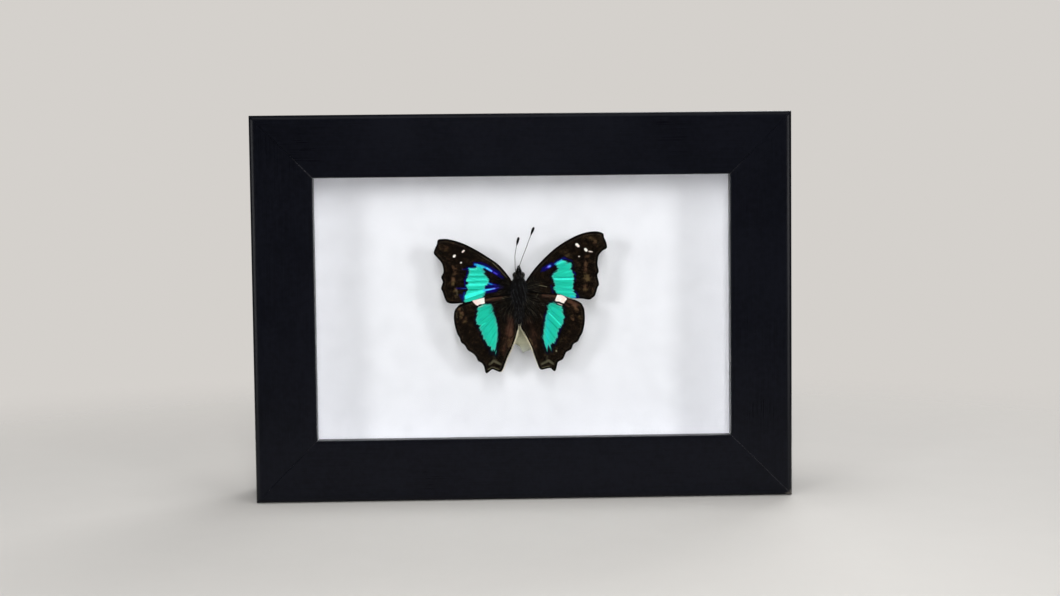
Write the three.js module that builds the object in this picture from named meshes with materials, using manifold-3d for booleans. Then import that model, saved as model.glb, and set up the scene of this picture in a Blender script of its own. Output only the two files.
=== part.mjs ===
// A spread butterfly mounted clear of a white card in a small black box frame with a glazed front.
// Millimetres, +Z up. The frame stands on its bottom rail at z = 0 and faces -Y; the origin is the
// middle of that rail's underside, so the frame's depth is centred on y = 0.

import * as THREE from 'three';
import { mergeVertices } from 'three/addons/utils/BufferGeometryUtils.js';
import Module from 'manifold-3d';

const wasm = await Module();
wasm.setup();

// ---------------------------------------------------------------------------- driving dimensions

const PRINT = { width: 152, height: 101 }; // the standard print that the rebate takes
const REBATE_PLAY = 0.5; // spare room round the print, on each side
const WALL = 13.5; // moulding beside the rebate
const FACE = 20.8; // moulding seen from the front
const DEPTH = 36; // front face to back face
const LIP = 5; // front face to the glass seat
const OUTER_ARRIS = 2.4; // rounding of the moulding's outer front edge
const SIGHT_ARRIS = 0.5; // rounding of its inner front edge
const MITRE_GAP = 0.1; // hairline joint between two rails

const FIT = 0.05; // play between the layers of the box
const PANEL_PLAY = 0.25; // play round the edge of each layer
const GLASS = 2;
const SPACER = 3;
const CARD_FROM_FACE = 26; // front face of the frame to front face of the card
const CARD = 1.5;
const BOARD = 3;

const POINT = { width: 8, thickness: 0.5, length: 15, driven: 5 }; // bendable retaining points
const KERF_PLAY = 0.3;
const POINT_SPREAD = { long: 45, short: 0 }; // where they stand along each pair of rails

const HANGER = { length: 48, height: 11, sheet: 0.8, lift: 2.2, foot: 9, bend: 3 };
const TOOTH = { count: 9, pitch: 2.4, height: 1.8 };
const HANGER_BELOW_TOP = 26; // top of the frame to the middle of the hanger
const RIVET = { head: 2.4, dome: 1, shank: 1.2, hole: 1.5 };

const PIN = { x: -1.2, y: -5.6, z: 70 }; // middle of the butterfly's thorax
const WING_THICKNESS = 0.3;
const FOREWING_Y = 0; // forewing's front face from the middle of the thorax
const HINDWING_Y = -0.6; // the hindwings lie in front of the forewings
const BODY_FLATNESS = 0.85; // the body's depth for its width
const RISER_RADIUS = 2;
const ANTENNA_RADIUS = 0.14;
const CLUB = { radius: 0.36, length: 3 };

const WIDTH = PRINT.width + 2 * (REBATE_PLAY + WALL);
const HEIGHT = PRINT.height + 2 * (REBATE_PLAY + WALL);
const FRONT = -DEPTH / 2;
const MIDDLE = HEIGHT / 2;
const CARD_Y = FRONT + CARD_FROM_FACE;
const BOARD_Y = CARD_Y + CARD + FIT;
const BOARD_BACK = BOARD_Y + BOARD;

// ------------------------------------------------------------------------------------- materials

const material = (name, color, roughness, metalness = 0) =>
  new THREE.MeshStandardMaterial({ name, color, roughness, metalness });

const finishes = {
  moulding: () => material('moulding', 0x14161b, 0.42),
  glass: () => {
    const pane = material('glass', 0xf4f8f7, 0.02);
    pane.transparent = true;
    pane.opacity = 0.12;
    return pane;
  },
  spacer: () => material('spacer', 0xf1f2f4, 0.8),
  card: () => material('card', 0xf3f4f7, 0.85),
  board: () => material('board', 0x8c6a48, 0.9),
  steel: () => material('steel', 0xa9abad, 0.4, 1),
  body: () => material('body', 0x121013, 0.85),
  wing: () => material('wing', 0x2a1d14, 0.7),
  antenna: () => material('antenna', 0x26221f, 0.6),
};

const root = new THREE.Group();

function place(parent, name, geometry, finish, x = 0, y = 0, z = 0) {
  const mesh = new THREE.Mesh(geometry, finish());
  mesh.name = name;
  mesh.position.set(x, y, z);
  parent.add(mesh);
  return mesh;
}

// ------------------------------------------------------------------------------- boolean helpers

function solidOf(geometry) {
  const bare = geometry.clone();
  bare.deleteAttribute('normal');
  bare.deleteAttribute('uv');
  const merged = mergeVertices(bare, 1e-4);
  return new wasm.Manifold(
    new wasm.Mesh({
      numProp: 3,
      vertProperties: new Float32Array(merged.attributes.position.array),
      triVerts: new Uint32Array(merged.index.array),
    }),
  );
}

function geometryOf(solid) {
  const mesh = solid.getMesh();
  const geometry = new THREE.BufferGeometry();
  geometry.setAttribute('position', new THREE.BufferAttribute(mesh.vertProperties, 3));
  geometry.setIndex(new THREE.BufferAttribute(mesh.triVerts, 1));
  geometry.computeVertexNormals();
  return geometry;
}

function box(width, depth, height, x, y, z) {
  return new THREE.BoxGeometry(width, depth, height).translate(x, y, z);
}

// ------------------------------------------------------------------------------------ the moulding

// Section of the moulding: across runs inward from the outer edge, back runs from the front face.
function mouldingSection() {
  const section = new THREE.Shape();
  section.moveTo(OUTER_ARRIS, 0);
  section.lineTo(FACE - SIGHT_ARRIS, 0);
  section.absarc(FACE - SIGHT_ARRIS, SIGHT_ARRIS, SIGHT_ARRIS, -Math.PI / 2, 0, false);
  section.lineTo(FACE, LIP);
  section.lineTo(WALL, LIP);
  section.lineTo(WALL, DEPTH);
  section.lineTo(0, DEPTH);
  section.lineTo(0, OUTER_ARRIS);
  section.absarc(OUTER_ARRIS, OUTER_ARRIS, OUTER_ARRIS, Math.PI, 1.5 * Math.PI, false);
  return section;
}

// A rail of that outer length, lying under the middle of the frame: its outer edge is span / 2
// below the middle, and each end is mitred, so it grows shorter by the distance from that edge.
function railGeometry(length, span) {
  const geometry = new THREE.ExtrudeGeometry(mouldingSection(), {
    depth: 1,
    bevelEnabled: false,
    curveSegments: 5,
  });
  const position = geometry.attributes.position;
  for (let i = 0; i < position.count; i += 1) {
    const across = position.getX(i);
    const back = position.getY(i);
    const along = 0.5 - position.getZ(i);
    position.setXYZ(i, along * (length - 2 * across - MITRE_GAP), FRONT + back, across - span / 2);
  }
  geometry.computeVertexNormals();
  return geometry;
}

// The same rail with a kerf for each retaining point that is driven into its rebate wall.
function railWithKerfs(length, span, stations) {
  let solid = solidOf(railGeometry(length, span));
  for (const along of stations) {
    const kerf = box(
      POINT.width + 2 * KERF_PLAY,
      POINT.thickness + 2 * KERF_PLAY,
      2 * (POINT.driven + KERF_PLAY),
      along,
      BOARD_BACK + 2 * FIT + POINT.thickness / 2,
      WALL - span / 2,
    );
    solid = solid.subtract(solidOf(kerf));
  }
  return geometryOf(solid);
}

function pointGeometry(span) {
  return box(
    POINT.width,
    POINT.thickness,
    POINT.length,
    0,
    BOARD_BACK + 2 * FIT + POINT.thickness / 2,
    WALL - POINT.driven + POINT.length / 2 - span / 2,
  );
}

// The four sides are the bottom one turned about the middle of the frame.
const sides = [
  { name: 'bottom', turn: 0, length: WIDTH, span: HEIGHT, stations: [-1, 1], spread: POINT_SPREAD.long },
  { name: 'right', turn: -Math.PI / 2, length: HEIGHT, span: WIDTH, stations: [0], spread: POINT_SPREAD.short },
  { name: 'top', turn: Math.PI, length: WIDTH, span: HEIGHT, stations: [-1, 1], spread: POINT_SPREAD.long },
  { name: 'left', turn: Math.PI / 2, length: HEIGHT, span: WIDTH, stations: [0], spread: POINT_SPREAD.short },
];

for (const side of sides) {
  const group = new THREE.Group();
  group.position.z = MIDDLE;
  group.rotation.y = side.turn;
  root.add(group);
  const stations = side.stations.map((s) => s * side.spread);
  place(group, `rail_${side.name}`, railWithKerfs(side.length, side.span, stations), finishes.moulding);
  stations.forEach((along, i) => {
    const suffix = stations.length > 1 ? `_${i + 1}` : '';
    place(group, `flex_point_${side.name}${suffix}`, pointGeometry(side.span), finishes.steel, along);
  });
}

// ------------------------------------------------------------------------------ what fills the box

const panel = {
  width: PRINT.width + 2 * (REBATE_PLAY - PANEL_PLAY),
  height: PRINT.height + 2 * (REBATE_PLAY - PANEL_PLAY),
};

const glassY = FRONT + LIP + FIT + GLASS / 2;
place(root, 'glass_pane', box(panel.width, GLASS, panel.height, 0, glassY, MIDDLE), finishes.glass);

function spacers() {
  const from = FRONT + LIP + GLASS + 2 * FIT;
  const deep = CARD_Y - FIT - from;
  const y = from + deep / 2;
  const upright = panel.height - 2 * (SPACER + FIT);
  for (const [name, sign] of [['bottom', -1], ['top', 1]]) {
    const z = MIDDLE + (sign * (panel.height - SPACER)) / 2;
    place(root, `spacer_${name}`, box(panel.width, deep, SPACER, 0, y, z), finishes.spacer);
  }
  for (const [name, sign] of [['left', -1], ['right', 1]]) {
    const x = (sign * (panel.width - SPACER)) / 2;
    place(root, `spacer_${name}`, box(SPACER, deep, upright, x, y, MIDDLE), finishes.spacer);
  }
}
spacers();

const cardY = CARD_Y + CARD / 2;
place(root, 'mount_card', box(panel.width, CARD, panel.height, 0, cardY, MIDDLE), finishes.card);

// ------------------------------------------------------------------- the back board and its hanger

const hangerZ = HEIGHT - HANGER_BELOW_TOP;
const rivetX = (HANGER.length - HANGER.foot) / 2;

// Turns a shape drawn in X and Z into a plate that is thick along Y, with its front at y = 0.
function plate(shape, thickness, curveSegments = 12) {
  const geometry = new THREE.ExtrudeGeometry(shape, { depth: thickness, bevelEnabled: false, curveSegments });
  return geometry.rotateX(Math.PI / 2).translate(0, thickness, 0);
}

function backingBoard() {
  const { width, height } = panel;
  const outline = new THREE.Shape();
  outline.moveTo(-width / 2, -height / 2);
  outline.lineTo(width / 2, -height / 2);
  outline.lineTo(width / 2, height / 2);
  outline.lineTo(-width / 2, height / 2);
  outline.closePath();
  for (const x of [-rivetX, rivetX]) {
    const hole = new THREE.Path();
    hole.absarc(x, hangerZ - MIDDLE, RIVET.hole, 0, 2 * Math.PI, false);
    outline.holes.push(hole);
  }
  return plate(outline, BOARD).translate(0, BOARD_Y, MIDDLE);
}

// A strip of sheet bent so that its middle stands off the board, with teeth along its lower edge.
function hangerPlate() {
  const half = HANGER.length / 2;
  const knee = half - HANGER.foot;
  const crest = knee - HANGER.bend;
  const { sheet, lift, height } = HANGER;
  const profile = new THREE.Shape();
  const lower = [[-half, 0], [-knee, 0], [-crest, lift], [crest, lift], [knee, 0], [half, 0]];
  const upper = lower.map(([x, y]) => [x, y + sheet]).reverse();
  profile.setFromPoints([...lower, ...upper].map(([x, y]) => new THREE.Vector2(x, y)));
  const strip = new THREE.ExtrudeGeometry(profile, { depth: height, bevelEnabled: false });
  let solid = solidOf(strip.translate(0, 0, -height / 2));
  for (let i = 0; i < TOOTH.count; i += 1) {
    const gullet = new THREE.CylinderGeometry(TOOTH.height, TOOTH.height, 4 * sheet, 3, 1);
    const x = (i - (TOOTH.count - 1) / 2) * TOOTH.pitch;
    solid = solid.subtract(solidOf(gullet.translate(x, lift + sheet / 2, -height / 2)));
  }
  for (const x of [-rivetX, rivetX]) {
    const hole = new THREE.CylinderGeometry(RIVET.hole, RIVET.hole, 4 * sheet, 20, 1);
    solid = solid.subtract(solidOf(hole.translate(x, sheet / 2, 0)));
  }
  return geometryOf(solid);
}

// A domed head on a plain shank, turned about the Y axis with the underside of its head at y = 0.
function rivet() {
  const { head, dome, shank } = RIVET;
  const grip = HANGER.sheet + BOARD;
  const profile = [[0, -grip], [shank, -grip], [shank, 0], [head, 0]];
  for (let i = 1; i <= 4; i += 1) {
    const angle = (i / 4) * (Math.PI / 2);
    profile.push([head * Math.cos(angle), dome * Math.sin(angle)]);
  }
  profile[profile.length - 1][0] = 0;
  return new THREE.LatheGeometry(profile.map(([r, y]) => new THREE.Vector2(r, y)), 20);
}

place(root, 'backing_board', backingBoard(), finishes.board);
place(root, 'hanger_plate', hangerPlate(), finishes.steel, 0, BOARD_BACK + FIT, hangerZ);
const rivetY = BOARD_BACK + 2 * FIT + HANGER.sheet;
place(root, 'hanger_rivet_left', rivet(), finishes.steel, -rivetX, rivetY, hangerZ);
place(root, 'hanger_rivet_right', rivet(), finishes.steel, rivetX, rivetY, hangerZ);

// ------------------------------------------------------------------------------------ the butterfly

// Outlines are [x, z] from the middle of the thorax. Each runs from the leading edge's root out
// along the margin, through the vein ends and the hollows between them, back to the trailing root.
const WINGS = {
  forewing_left: {
    front: FOREWING_Y,
    margin: [
      [-2.9, 3.8], [-6.4, 8.1], [-10.6, 11.2], [-14.8, 13.8], [-19, 15.9], [-23.2, 17.2], [-25.6, 17.4],
      [-27.2, 17.1], [-27.6, 15.6], [-28.3, 14.1], [-28.7, 12.6], [-28, 11.6], [-26.3, 9.6], [-25.7, 8.2],
      [-25.5, 6.2], [-26.3, 4.5], [-25.8, 2.8], [-26.4, 0.7], [-25.9, -0.5], [-25, -3.2], [-24.2, -4.2],
      [-22.7, -4.6], [-19.7, -4.5], [-12, -4.2], [-6, -3.4], [-2.9, -2.6],
    ],
    root: [],
  },
  forewing_right: {
    front: FOREWING_Y,
    margin: [
      [2.9, 3.6], [5.6, 7.1], [9, 10.7], [12.9, 14.1], [17.4, 16.9], [21.9, 18.8], [26.1, 19.4],
      [28.7, 18.7], [29.1, 17.3], [29.7, 16], [30.1, 14.1], [29.7, 13.4], [28.6, 12.8], [27.3, 11.3],
      [26.9, 9.6], [26.8, 7.9], [27.2, 5.8], [26.7, 4.4], [27.3, 1.5], [26.8, 0.4], [25.9, -2.3],
      [25.1, -3.1], [23.8, -3.8], [20.6, -3.4], [13, -3.4], [6, -3], [2.9, -2.6],
    ],
    root: [],
  },
  hindwing_left: {
    front: HINDWING_Y,
    margin: [
      [-2.9, -1.4], [-7.6, -2], [-11.4, -2.6], [-14.8, -3.4], [-19.7, -4.7], [-21, -5.7], [-21.9, -7],
      [-22.2, -9.3], [-21.9, -11.9], [-21.1, -14.9], [-20.3, -16.2], [-19.9, -17.7], [-18.6, -18.8],
      [-17.6, -20.5], [-15.9, -21.6], [-14.9, -22.7], [-14.2, -24.2], [-13, -24.9], [-12.2, -26.1],
      [-11.8, -27.9], [-11.3, -28.5], [-10.4, -27.9], [-9.3, -27.2], [-7.9, -27.7], [-6.6, -28.1],
      [-5.7, -27.1], [-4.4, -23.3], [-2.9, -20.1], [-1.8, -17.7], [-0.9, -15.6], [-0.4, -13.2],
    ],
    root: [[-1.3, -11.9], [-1.8, -10], [-2, -8], [-2, -6], [-2.4, -4.8], [-2.9, -3.6]],
  },
  hindwing_right: {
    front: HINDWING_Y,
    margin: [
      [2.9, -0.4], [8.9, -1.3], [11.9, -1.5], [14, -1.9], [18.2, -3.4], [20.8, -4.7], [21.7, -5.9],
      [22.2, -7.4], [22.3, -11], [21.6, -14.6], [20.7, -16.3], [19.8, -18], [18.3, -18.9], [17.6, -20.6],
      [15.9, -21.6], [15.3, -22.9], [14.6, -24.1], [13.1, -24.9], [12.7, -26.1], [12.3, -27.6],
      [11.8, -28.1], [11.2, -27.7], [10.3, -27], [8.6, -27.3], [7.4, -27.5], [6.5, -26.6], [5.1, -22.3],
      [4.6, -20.8], [3.6, -18.2], [2.5, -16.3], [1.4, -14.4], [0.5, -13],
    ],
    root: [[1.3, -11.9], [1.8, -10], [2, -8], [2, -6], [2.4, -4.8], [2.9, -3.6]],
  },
};

function wingGeometry({ margin, root: rootLine }) {
  const outline = new THREE.Shape();
  const points = margin.map(([x, z]) => new THREE.Vector2(x, z));
  outline.moveTo(points[0].x, points[0].y);
  outline.splineThru(points.slice(1));
  for (const [x, z] of rootLine) {
    outline.lineTo(x, z);
  }
  outline.closePath();
  return plate(outline, WING_THICKNESS, 3);
}

// Radius of the body along its length, from the tip of the palps to the tip of the abdomen.
const BODY_PROFILE = [
  [0, 8], [0.35, 7.5], [0.8, 6.5], [1.5, 5.7], [2.05, 4.8], [2, 4], [1.3, 3.1], [1.9, 2.3], [2.5, 0.8],
  [2.6, -1], [2.4, -2.8], [1.8, -4.2], [1.3, -5], [1.6, -6.3], [1.6, -8], [1.3, -10], [0.8, -11.5], [0, -12.2],
];

function bodyGeometry() {
  const profile = [...BODY_PROFILE].reverse().map(([radius, z]) => new THREE.Vector2(radius, z));
  return new THREE.LatheGeometry(profile, 20).rotateX(Math.PI / 2).scale(1, BODY_FLATNESS, 1);
}

// Each antenna is a thin stalk along a curve with a slim club at its tip; [x, y, z] from the thorax.
const ANTENNAE = {
  antenna_left: [[-1.15, 0, 6.9], [-1.2, -0.6, 9], [-1.2, -1.1, 11.5], [-0.8, -1.5, 14], [-0.1, -1.8, 16.9]],
  antenna_right: [[0.35, 0, 8.4], [1.4, -0.6, 11], [2.6, -1.1, 14], [3.7, -1.5, 17], [5.1, -1.9, 20.6]],
};

function antennaGeometry(points) {
  const path = new THREE.CatmullRomCurve3(points.map((p) => new THREE.Vector3(...p)));
  const section = new THREE.Shape().absarc(0, 0, ANTENNA_RADIUS, 0, 2 * Math.PI, false);
  const stalk = new THREE.ExtrudeGeometry(section, { steps: 16, curveSegments: 4, extrudePath: path });
  const club = new THREE.SphereGeometry(1, 10, 8).scale(CLUB.radius, CLUB.length / 2, CLUB.radius);
  const tip = path.getPoint(1);
  const direction = path.getTangent(1);
  const turn = new THREE.Quaternion().setFromUnitVectors(new THREE.Vector3(0, 1, 0), direction);
  const centre = tip.clone().addScaledVector(direction, -CLUB.length / 4);
  club.applyQuaternion(turn).translate(centre.x, centre.y, centre.z);
  return geometryOf(solidOf(stalk).add(solidOf(club)));
}

const butterfly = new THREE.Group();
butterfly.position.set(PIN.x, PIN.y, PIN.z);
root.add(butterfly);

place(butterfly, 'butterfly_body', bodyGeometry(), finishes.body);
for (const [name, wing] of Object.entries(WINGS)) {
  place(butterfly, name, wingGeometry(wing), finishes.wing, 0, wing.front, 0);
}
for (const [name, points] of Object.entries(ANTENNAE)) {
  place(butterfly, name, antennaGeometry(points), finishes.antenna);
}

// The peg between the card and the underside of the thorax.
function riser() {
  const from = BODY_FLATNESS * Math.max(...BODY_PROFILE.map(([radius]) => radius)) + 2 * FIT;
  const length = CARD_Y - FIT - (PIN.y + from);
  const peg = new THREE.CylinderGeometry(RISER_RADIUS, RISER_RADIUS, length, 20, 1);
  return peg.translate(0, from + length / 2, -1);
}
place(butterfly, 'riser', riser(), finishes.spacer);

export default root;
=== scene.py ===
"""Framed butterfly specimen: the looks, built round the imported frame.

Lengths are in millimetres down to the mesh, where MM turns them into metres. Lamps, the floor's fade,
shader scales and the properties that a user may change are in metres already.
The butterfly's outlines and markings are points (x, z) from the middle of its thorax, x to the right
and z up as it hangs in the frame; y runs from the glass back to the wall.
"""

import math

import bmesh
import bpy
import numpy as np
from bpy.props import FloatProperty, FloatVectorProperty, IntProperty, PointerProperty
from mathutils import Matrix, Vector


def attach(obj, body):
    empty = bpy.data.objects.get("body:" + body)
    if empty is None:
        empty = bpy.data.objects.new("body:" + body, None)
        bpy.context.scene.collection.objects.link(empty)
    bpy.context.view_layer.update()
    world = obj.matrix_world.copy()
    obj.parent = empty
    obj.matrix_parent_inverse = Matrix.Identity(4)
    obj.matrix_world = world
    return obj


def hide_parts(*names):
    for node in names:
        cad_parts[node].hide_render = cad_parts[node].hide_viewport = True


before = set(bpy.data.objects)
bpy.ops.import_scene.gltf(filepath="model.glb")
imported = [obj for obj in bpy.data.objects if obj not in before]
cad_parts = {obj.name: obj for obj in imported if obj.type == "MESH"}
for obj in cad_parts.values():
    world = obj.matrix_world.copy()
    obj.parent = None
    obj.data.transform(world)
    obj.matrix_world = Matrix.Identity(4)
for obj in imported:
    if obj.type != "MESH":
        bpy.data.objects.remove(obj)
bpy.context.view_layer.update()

bl_info = {
    "name": "Framed butterfly specimen",
    "version": (1, 0, 0),
    "blender": (4, 5, 0),
    "location": "View3D > Sidebar > Specimen",
    "description": "Builds a spread butterfly in a small glazed box frame",
    "category": "Object",
}

MM = 0.001

# ------------------------------------------------------------------------------------ sizes, in millimetres

THORAX = np.array([-1.2, -5.6, 70.0])  # middle of the butterfly's thorax in the frame
RAILS = {  # node: length, span across the frame, turn about the frame's middle in quarter turns
    "bottom": (180.0, 129.0, 0),
    "right": (129.0, 180.0, 1),
    "top": (180.0, 129.0, 2),
    "left": (129.0, 180.0, 3),
}
MIDDLE = 64.5  # height of the frame's middle
FRONT = -18.0  # the frame's front face
MITRE_GAP = 0.02  # left between two rails
MITRE_GROOVE = 0.16  # how far back from the mitre the section starts to be drawn in
ARRIS = 2.0  # reach of the wear from the outer front edge
SCUFF = 2.6  # reach of the wear from an outer corner
LONGEST_SIDE = 2.5  # of a facet along the section
ARC_STEPS = 7  # facets of a rounded corner
RAIL_STATIONS = 41  # rings along a rail, without those at its mitres
# At the mitres from bottom left round by the right: how far a pale line of painted reflection, for the
# gleam off the mitre's fine V, runs out from the inner corner, its strength, and how rubbed the outer
# corner is, which is wear
MITRE_GLINT_AND_WEAR = [(4.0, 0.12, 0.3), (30.0, 0.16, 1.4), (5.0, 0.16, 0.3), (7.0, 0.3, 0.4)]
# Corners of the moulding's section: (from the outer edge, back from the front, radius of the rounding)
SECTION = [
    (0.0, 0.0, 2.4), (20.8, 0.0, 0.5), (20.8, 5.0, 0.3), (13.5, 5.0, 0.2), (13.5, 36.0, 0.35),
    (0.0, 36.0, 0.7),
]

FOREWING_Y = 0.1  # the forewings' front at their root, back from the middle of the thorax
HINDWING_Y = -0.5  # the hindwings' front, likewise
SHEET = 0.13  # thickness of a wing between its veins
THIN_RIM = 0.6  # width of the rim over which a wing thins to less than half of that
VEIN_WIDTH = 0.16  # about half the width of a vein's ridge
BILLOW_WIDTH = 1.1  # how far from a vein a wing has sunk by most of its billow
HUB = 0.03  # share of the way from the root to the margin where a wing's grid starts
LEAN = 0.03  # about how much a wing comes forward for each millimetre outwards; hairs and folds follow it
WING_GRID = (250, 110)  # places round the margin, and steps out to it

# Veins are lines from the base outwards. Strokes are (x, z, x, z, width, strength), and white marks are
# lists of outline points or (x, z, x, z, half width) bars. A fold is (z, reach, drop) of the edge that is
# turned back. The strokes that light and darken a band are painted highlight and painted shade, for its
# sheen and its buckles; each wing's number added to them brightens its whole band as painted highlight
# above zero and dims it as painted shade below, and violet turns its wing's blue streaks that way.
LEFT_FOREWING = {
    "margin": [
        (-2.9, 3.8), (-6.4, 8.1), (-10.6, 11.2), (-14.8, 13.8), (-19, 15.9), (-23.2, 17.2), (-25.6, 17.4),
        (-27.2, 17.1), (-27.6, 15.6), (-28.3, 14.1), (-28.7, 12.6), (-28, 11.6), (-26.3, 9.6),
        (-25.7, 8.2), (-25.5, 6.2), (-26.3, 4.5), (-25.8, 2.8), (-26.4, 0.7), (-25.9, -0.5), (-25, -3.2),
        (-24.2, -4.2), (-22.7, -4.6), (-19.7, -4.5), (-12, -4.2), (-6, -3.4), (-2.2, -2.6),
    ],
    "root": (-1.2, 0.4),
    "veins": [
        [(-2.0, 2.4), (-9, 8.8), (-15.5, 12.9), (-21, 15.8)],
        [(-2.0, 1.9), (-8.3, 7.2), (-12.6, 9.9), (-18.5, 13.6), (-24, 16.2), (-26.8, 17)],
        [(-12.6, 9.6), (-17.5, 11.1), (-23, 12.7), (-28.5, 13.2)],
        [(-13, 8.4), (-18, 8.9), (-22.5, 8.8), (-26, 8.9)],
        [(-12.6, 9.8), (-13.2, 8), (-11.8, 5.6), (-10.8, 4.8)],
        [(-10.8, 4.8), (-14.2, 4.4), (-20, 4.8), (-26.2, 4.5)],
        [(-9, 3.5), (-14.2, 2.8), (-20, 1.7), (-26.3, 0.7)],
        [(-2.0, 0.6), (-6, 2.0), (-9, 3.5), (-10.8, 4.8)],
        [(-6.5, 2.1), (-10, 1.0), (-14.2, 0.1), (-19, -0.6), (-25.6, -1.9)],
        [(-2.0, -0.4), (-7, -0.3), (-11.3, -1.1), (-15, -2.2), (-18.3, -3.3), (-21.5, -4.3)],
    ],
    "band": [
        (-17, 7.4), (-15.9, 7.6), (-14.7, 7.4), (-14.2, 7.9), (-14.5, 8.65), (-13.4, 8.75), (-12.2, 8.3),
        (-11.4, 7.6), (-12.1, 6.9), (-11.5, 6.2), (-11.8, 5.4), (-10.8, 4.5), (-10.1, 3.4), (-10.1, 2.8),
        (-10.5, 1.7), (-11.4, 1.1), (-11.5, 0.2), (-11.2, -0.6), (-11.6, -1.7), (-12.6, -2.8),
        (-15.7, -4.3), (-18.1, -4.6), (-18.7, -3.8), (-18.5, -2.6), (-18.4, -1.7), (-17.9, -0.9),
        (-17.5, 0), (-17.4, 0.6), (-18, 1.5), (-17.1, 2.2), (-17.8, 2.9), (-17.9, 3.7), (-17.3, 4.4),
        (-17.4, 4.9), (-16.8, 5.6), (-17, 6.3),
    ],
    "white": [
        (-18.95, 12.85, -18.5, 13.35, 0.36), (-21.85, 11.45, -21.6, 11.7, 0.45),
        (-19.6, 9.3, -19.4, 9.35, 0.29),
    ],
    # Painted highlight and painted shade: streaks that light and darken the band
    "painted_band_light": [
        (-17, 7.0, -14.5, 7.1, 0.35, 1.0), (-17.5, 5.2, -12, 5.2, 0.35, 0.5),
        (-17.5, 3.5, -10.5, 3.4, 0.55, 0.5), (-17.5, 1.8, -10.8, 1.7, 0.55, 0.9),
        (-18.2, -2.6, -14.5, -1.2, 0.8, 1.3), (-14.5, -1.2, -11.4, -0.1, 0.7, 1.2),
        (-17, 6.3, -12, 6.1, 0.35, -0.5), (-17.5, 4.4, -11, 4.4, 0.22, -0.9),
        (-17.5, 2.75, -11, 2.7, 0.22, -0.8), (-17.3, 0.95, -11.4, 1.0, 0.22, -0.7),
        (-17.3, 0.1, -14, 0, 0.25, -1.2), (-14, 0, -11.5, 0.1, 0.2, -0.8),
        (-18.4, -3.4, -11.8, -1.4, 0.22, -0.8),
    ],
    "blue": [
        (-14.8, 8.6, -11.9, 7.8, 0.65, 1.1), (-11.6, 7.7, -11.0, 7.4, 0.5, 1.3),
        (-10.8, 7.3, -9.2, 6.3, 0.42, 1.9), (-8.4, 5.85, -7.4, 5.25, 0.42, 1.15),
        (-15.2, 9.2, -12.4, 9.1, 0.35, 0.45), (-11.8, 8.2, -7.0, 5.4, 0.9, 0.65),
        (-7.4, 5.3, -5.4, 3.9, 0.7, 0.5), (-11.8, -0.2, -10.2, 0.0, 0.4, 1.8),
        (-10.0, 0.05, -8.2, 0.35, 0.36, 1.8), (-8.0, 0.4, -6.8, 0.65, 0.3, 1.05),
        (-11.4, -0.5, -8.0, 0.1, 1.0, 0.65), (-8.0, 0.2, -5.6, 0.7, 0.6, 0.55),
        (-10.3, 2.1, -9.2, 1.75, 0.5, 1.0), (-9.2, 1.75, -7.7, 1.5, 0.4, 0.8),
        (-11.2, 1.3, -6.6, 1.1, 0.7, 0.6), (-17.2, 6.6, -17.9, 4.0, 0.4, 0.4),
        (-18.3, 3.6, -18.2, 1.2, 0.4, 0.5), (-19.8, 0.6, -17.8, 0.55, 0.22, 0.85),
        (-21.2, 0.6, -17.8, 0.4, 0.45, 0.42), (-18.5, -1.0, -18.9, -2.9, 0.45, 0.8),
        (-19.8, -1.8, -19.0, -3.6, 0.8, 0.36), (-17.5, 7.3, -15.5, 7.5, 0.4, 0.7),
        (-19.2, 7.1, -17.4, 6.9, 0.3, 0.4), (-17.9, -2.6, -17.2, -2.2, 0.5, 0.7),
    ],
    "brown": [
        (-22.0, 7.8, -21.6, 7.2, 0.9, 1.0), (-21.7, 5.9, -21.6, 5.3, 0.9, 0.9),
        (-22.4, 4.0, -22.3, 3.5, 0.9, 1.2), (-22.3, 2.2, -22.2, 1.6, 0.8, 1.1),
        (-21.5, 0.1, -21.3, -0.6, 0.9, 1.0), (-21.6, -2.0, -21.2, -2.4, 0.8, 0.7),
        (-24.2, 15.1, -25.4, 13.6, 1.2, 0.6), (-24.0, 11.0, -23.0, 9.0, 1.0, 0.55),
        (-23.6, -0.4, -23, -3, 0.7, 0.4), (-15.4, 10.0, -17.5, 10.0, 0.9, 0.4),
        (-18.9, 7.4, -19.0, 5.6, 0.7, 0.35), (-26.0, 15.5, -22, 15.9, 0.6, 0.4),
        (-20.5, 14.6, -17.5, 13.2, 0.6, 0.25), (-6.0, 3.2, -3.6, 2.2, 1.2, 0.3),
    ],
    "olive_and_edge_highlight": [
        (-12.6, 11.3, -8.4, 8.9, 0.2, 0.65), (-8.7, 9.0, -4.0, 4.1, 0.18, 1.1),
        (-16.4, 12.2, -14.2, 11.6, 0.5, 0.4), (-21.2, 0.0, -20.9, -1.6, 0.6, 0.6),
        (-13.6, 11.0, -11.0, 9.6, 0.35, 0.35), (-7.5, 3.2, -4.5, 2.0, 0.5, 0.3),
    ],
    "red": [
        (-10.9, -2.9, -5.2, -1.2, 0.7, 0.55), (-13.6, 9.6, -15.4, 9.0, 0.7, 0.3),
        (-17.9, 6.4, -18.6, 5.6, 0.6, 0.3),
    ],
    # Painted highlight over the whole band
    "painted_band_lift": 0.45,
}
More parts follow.
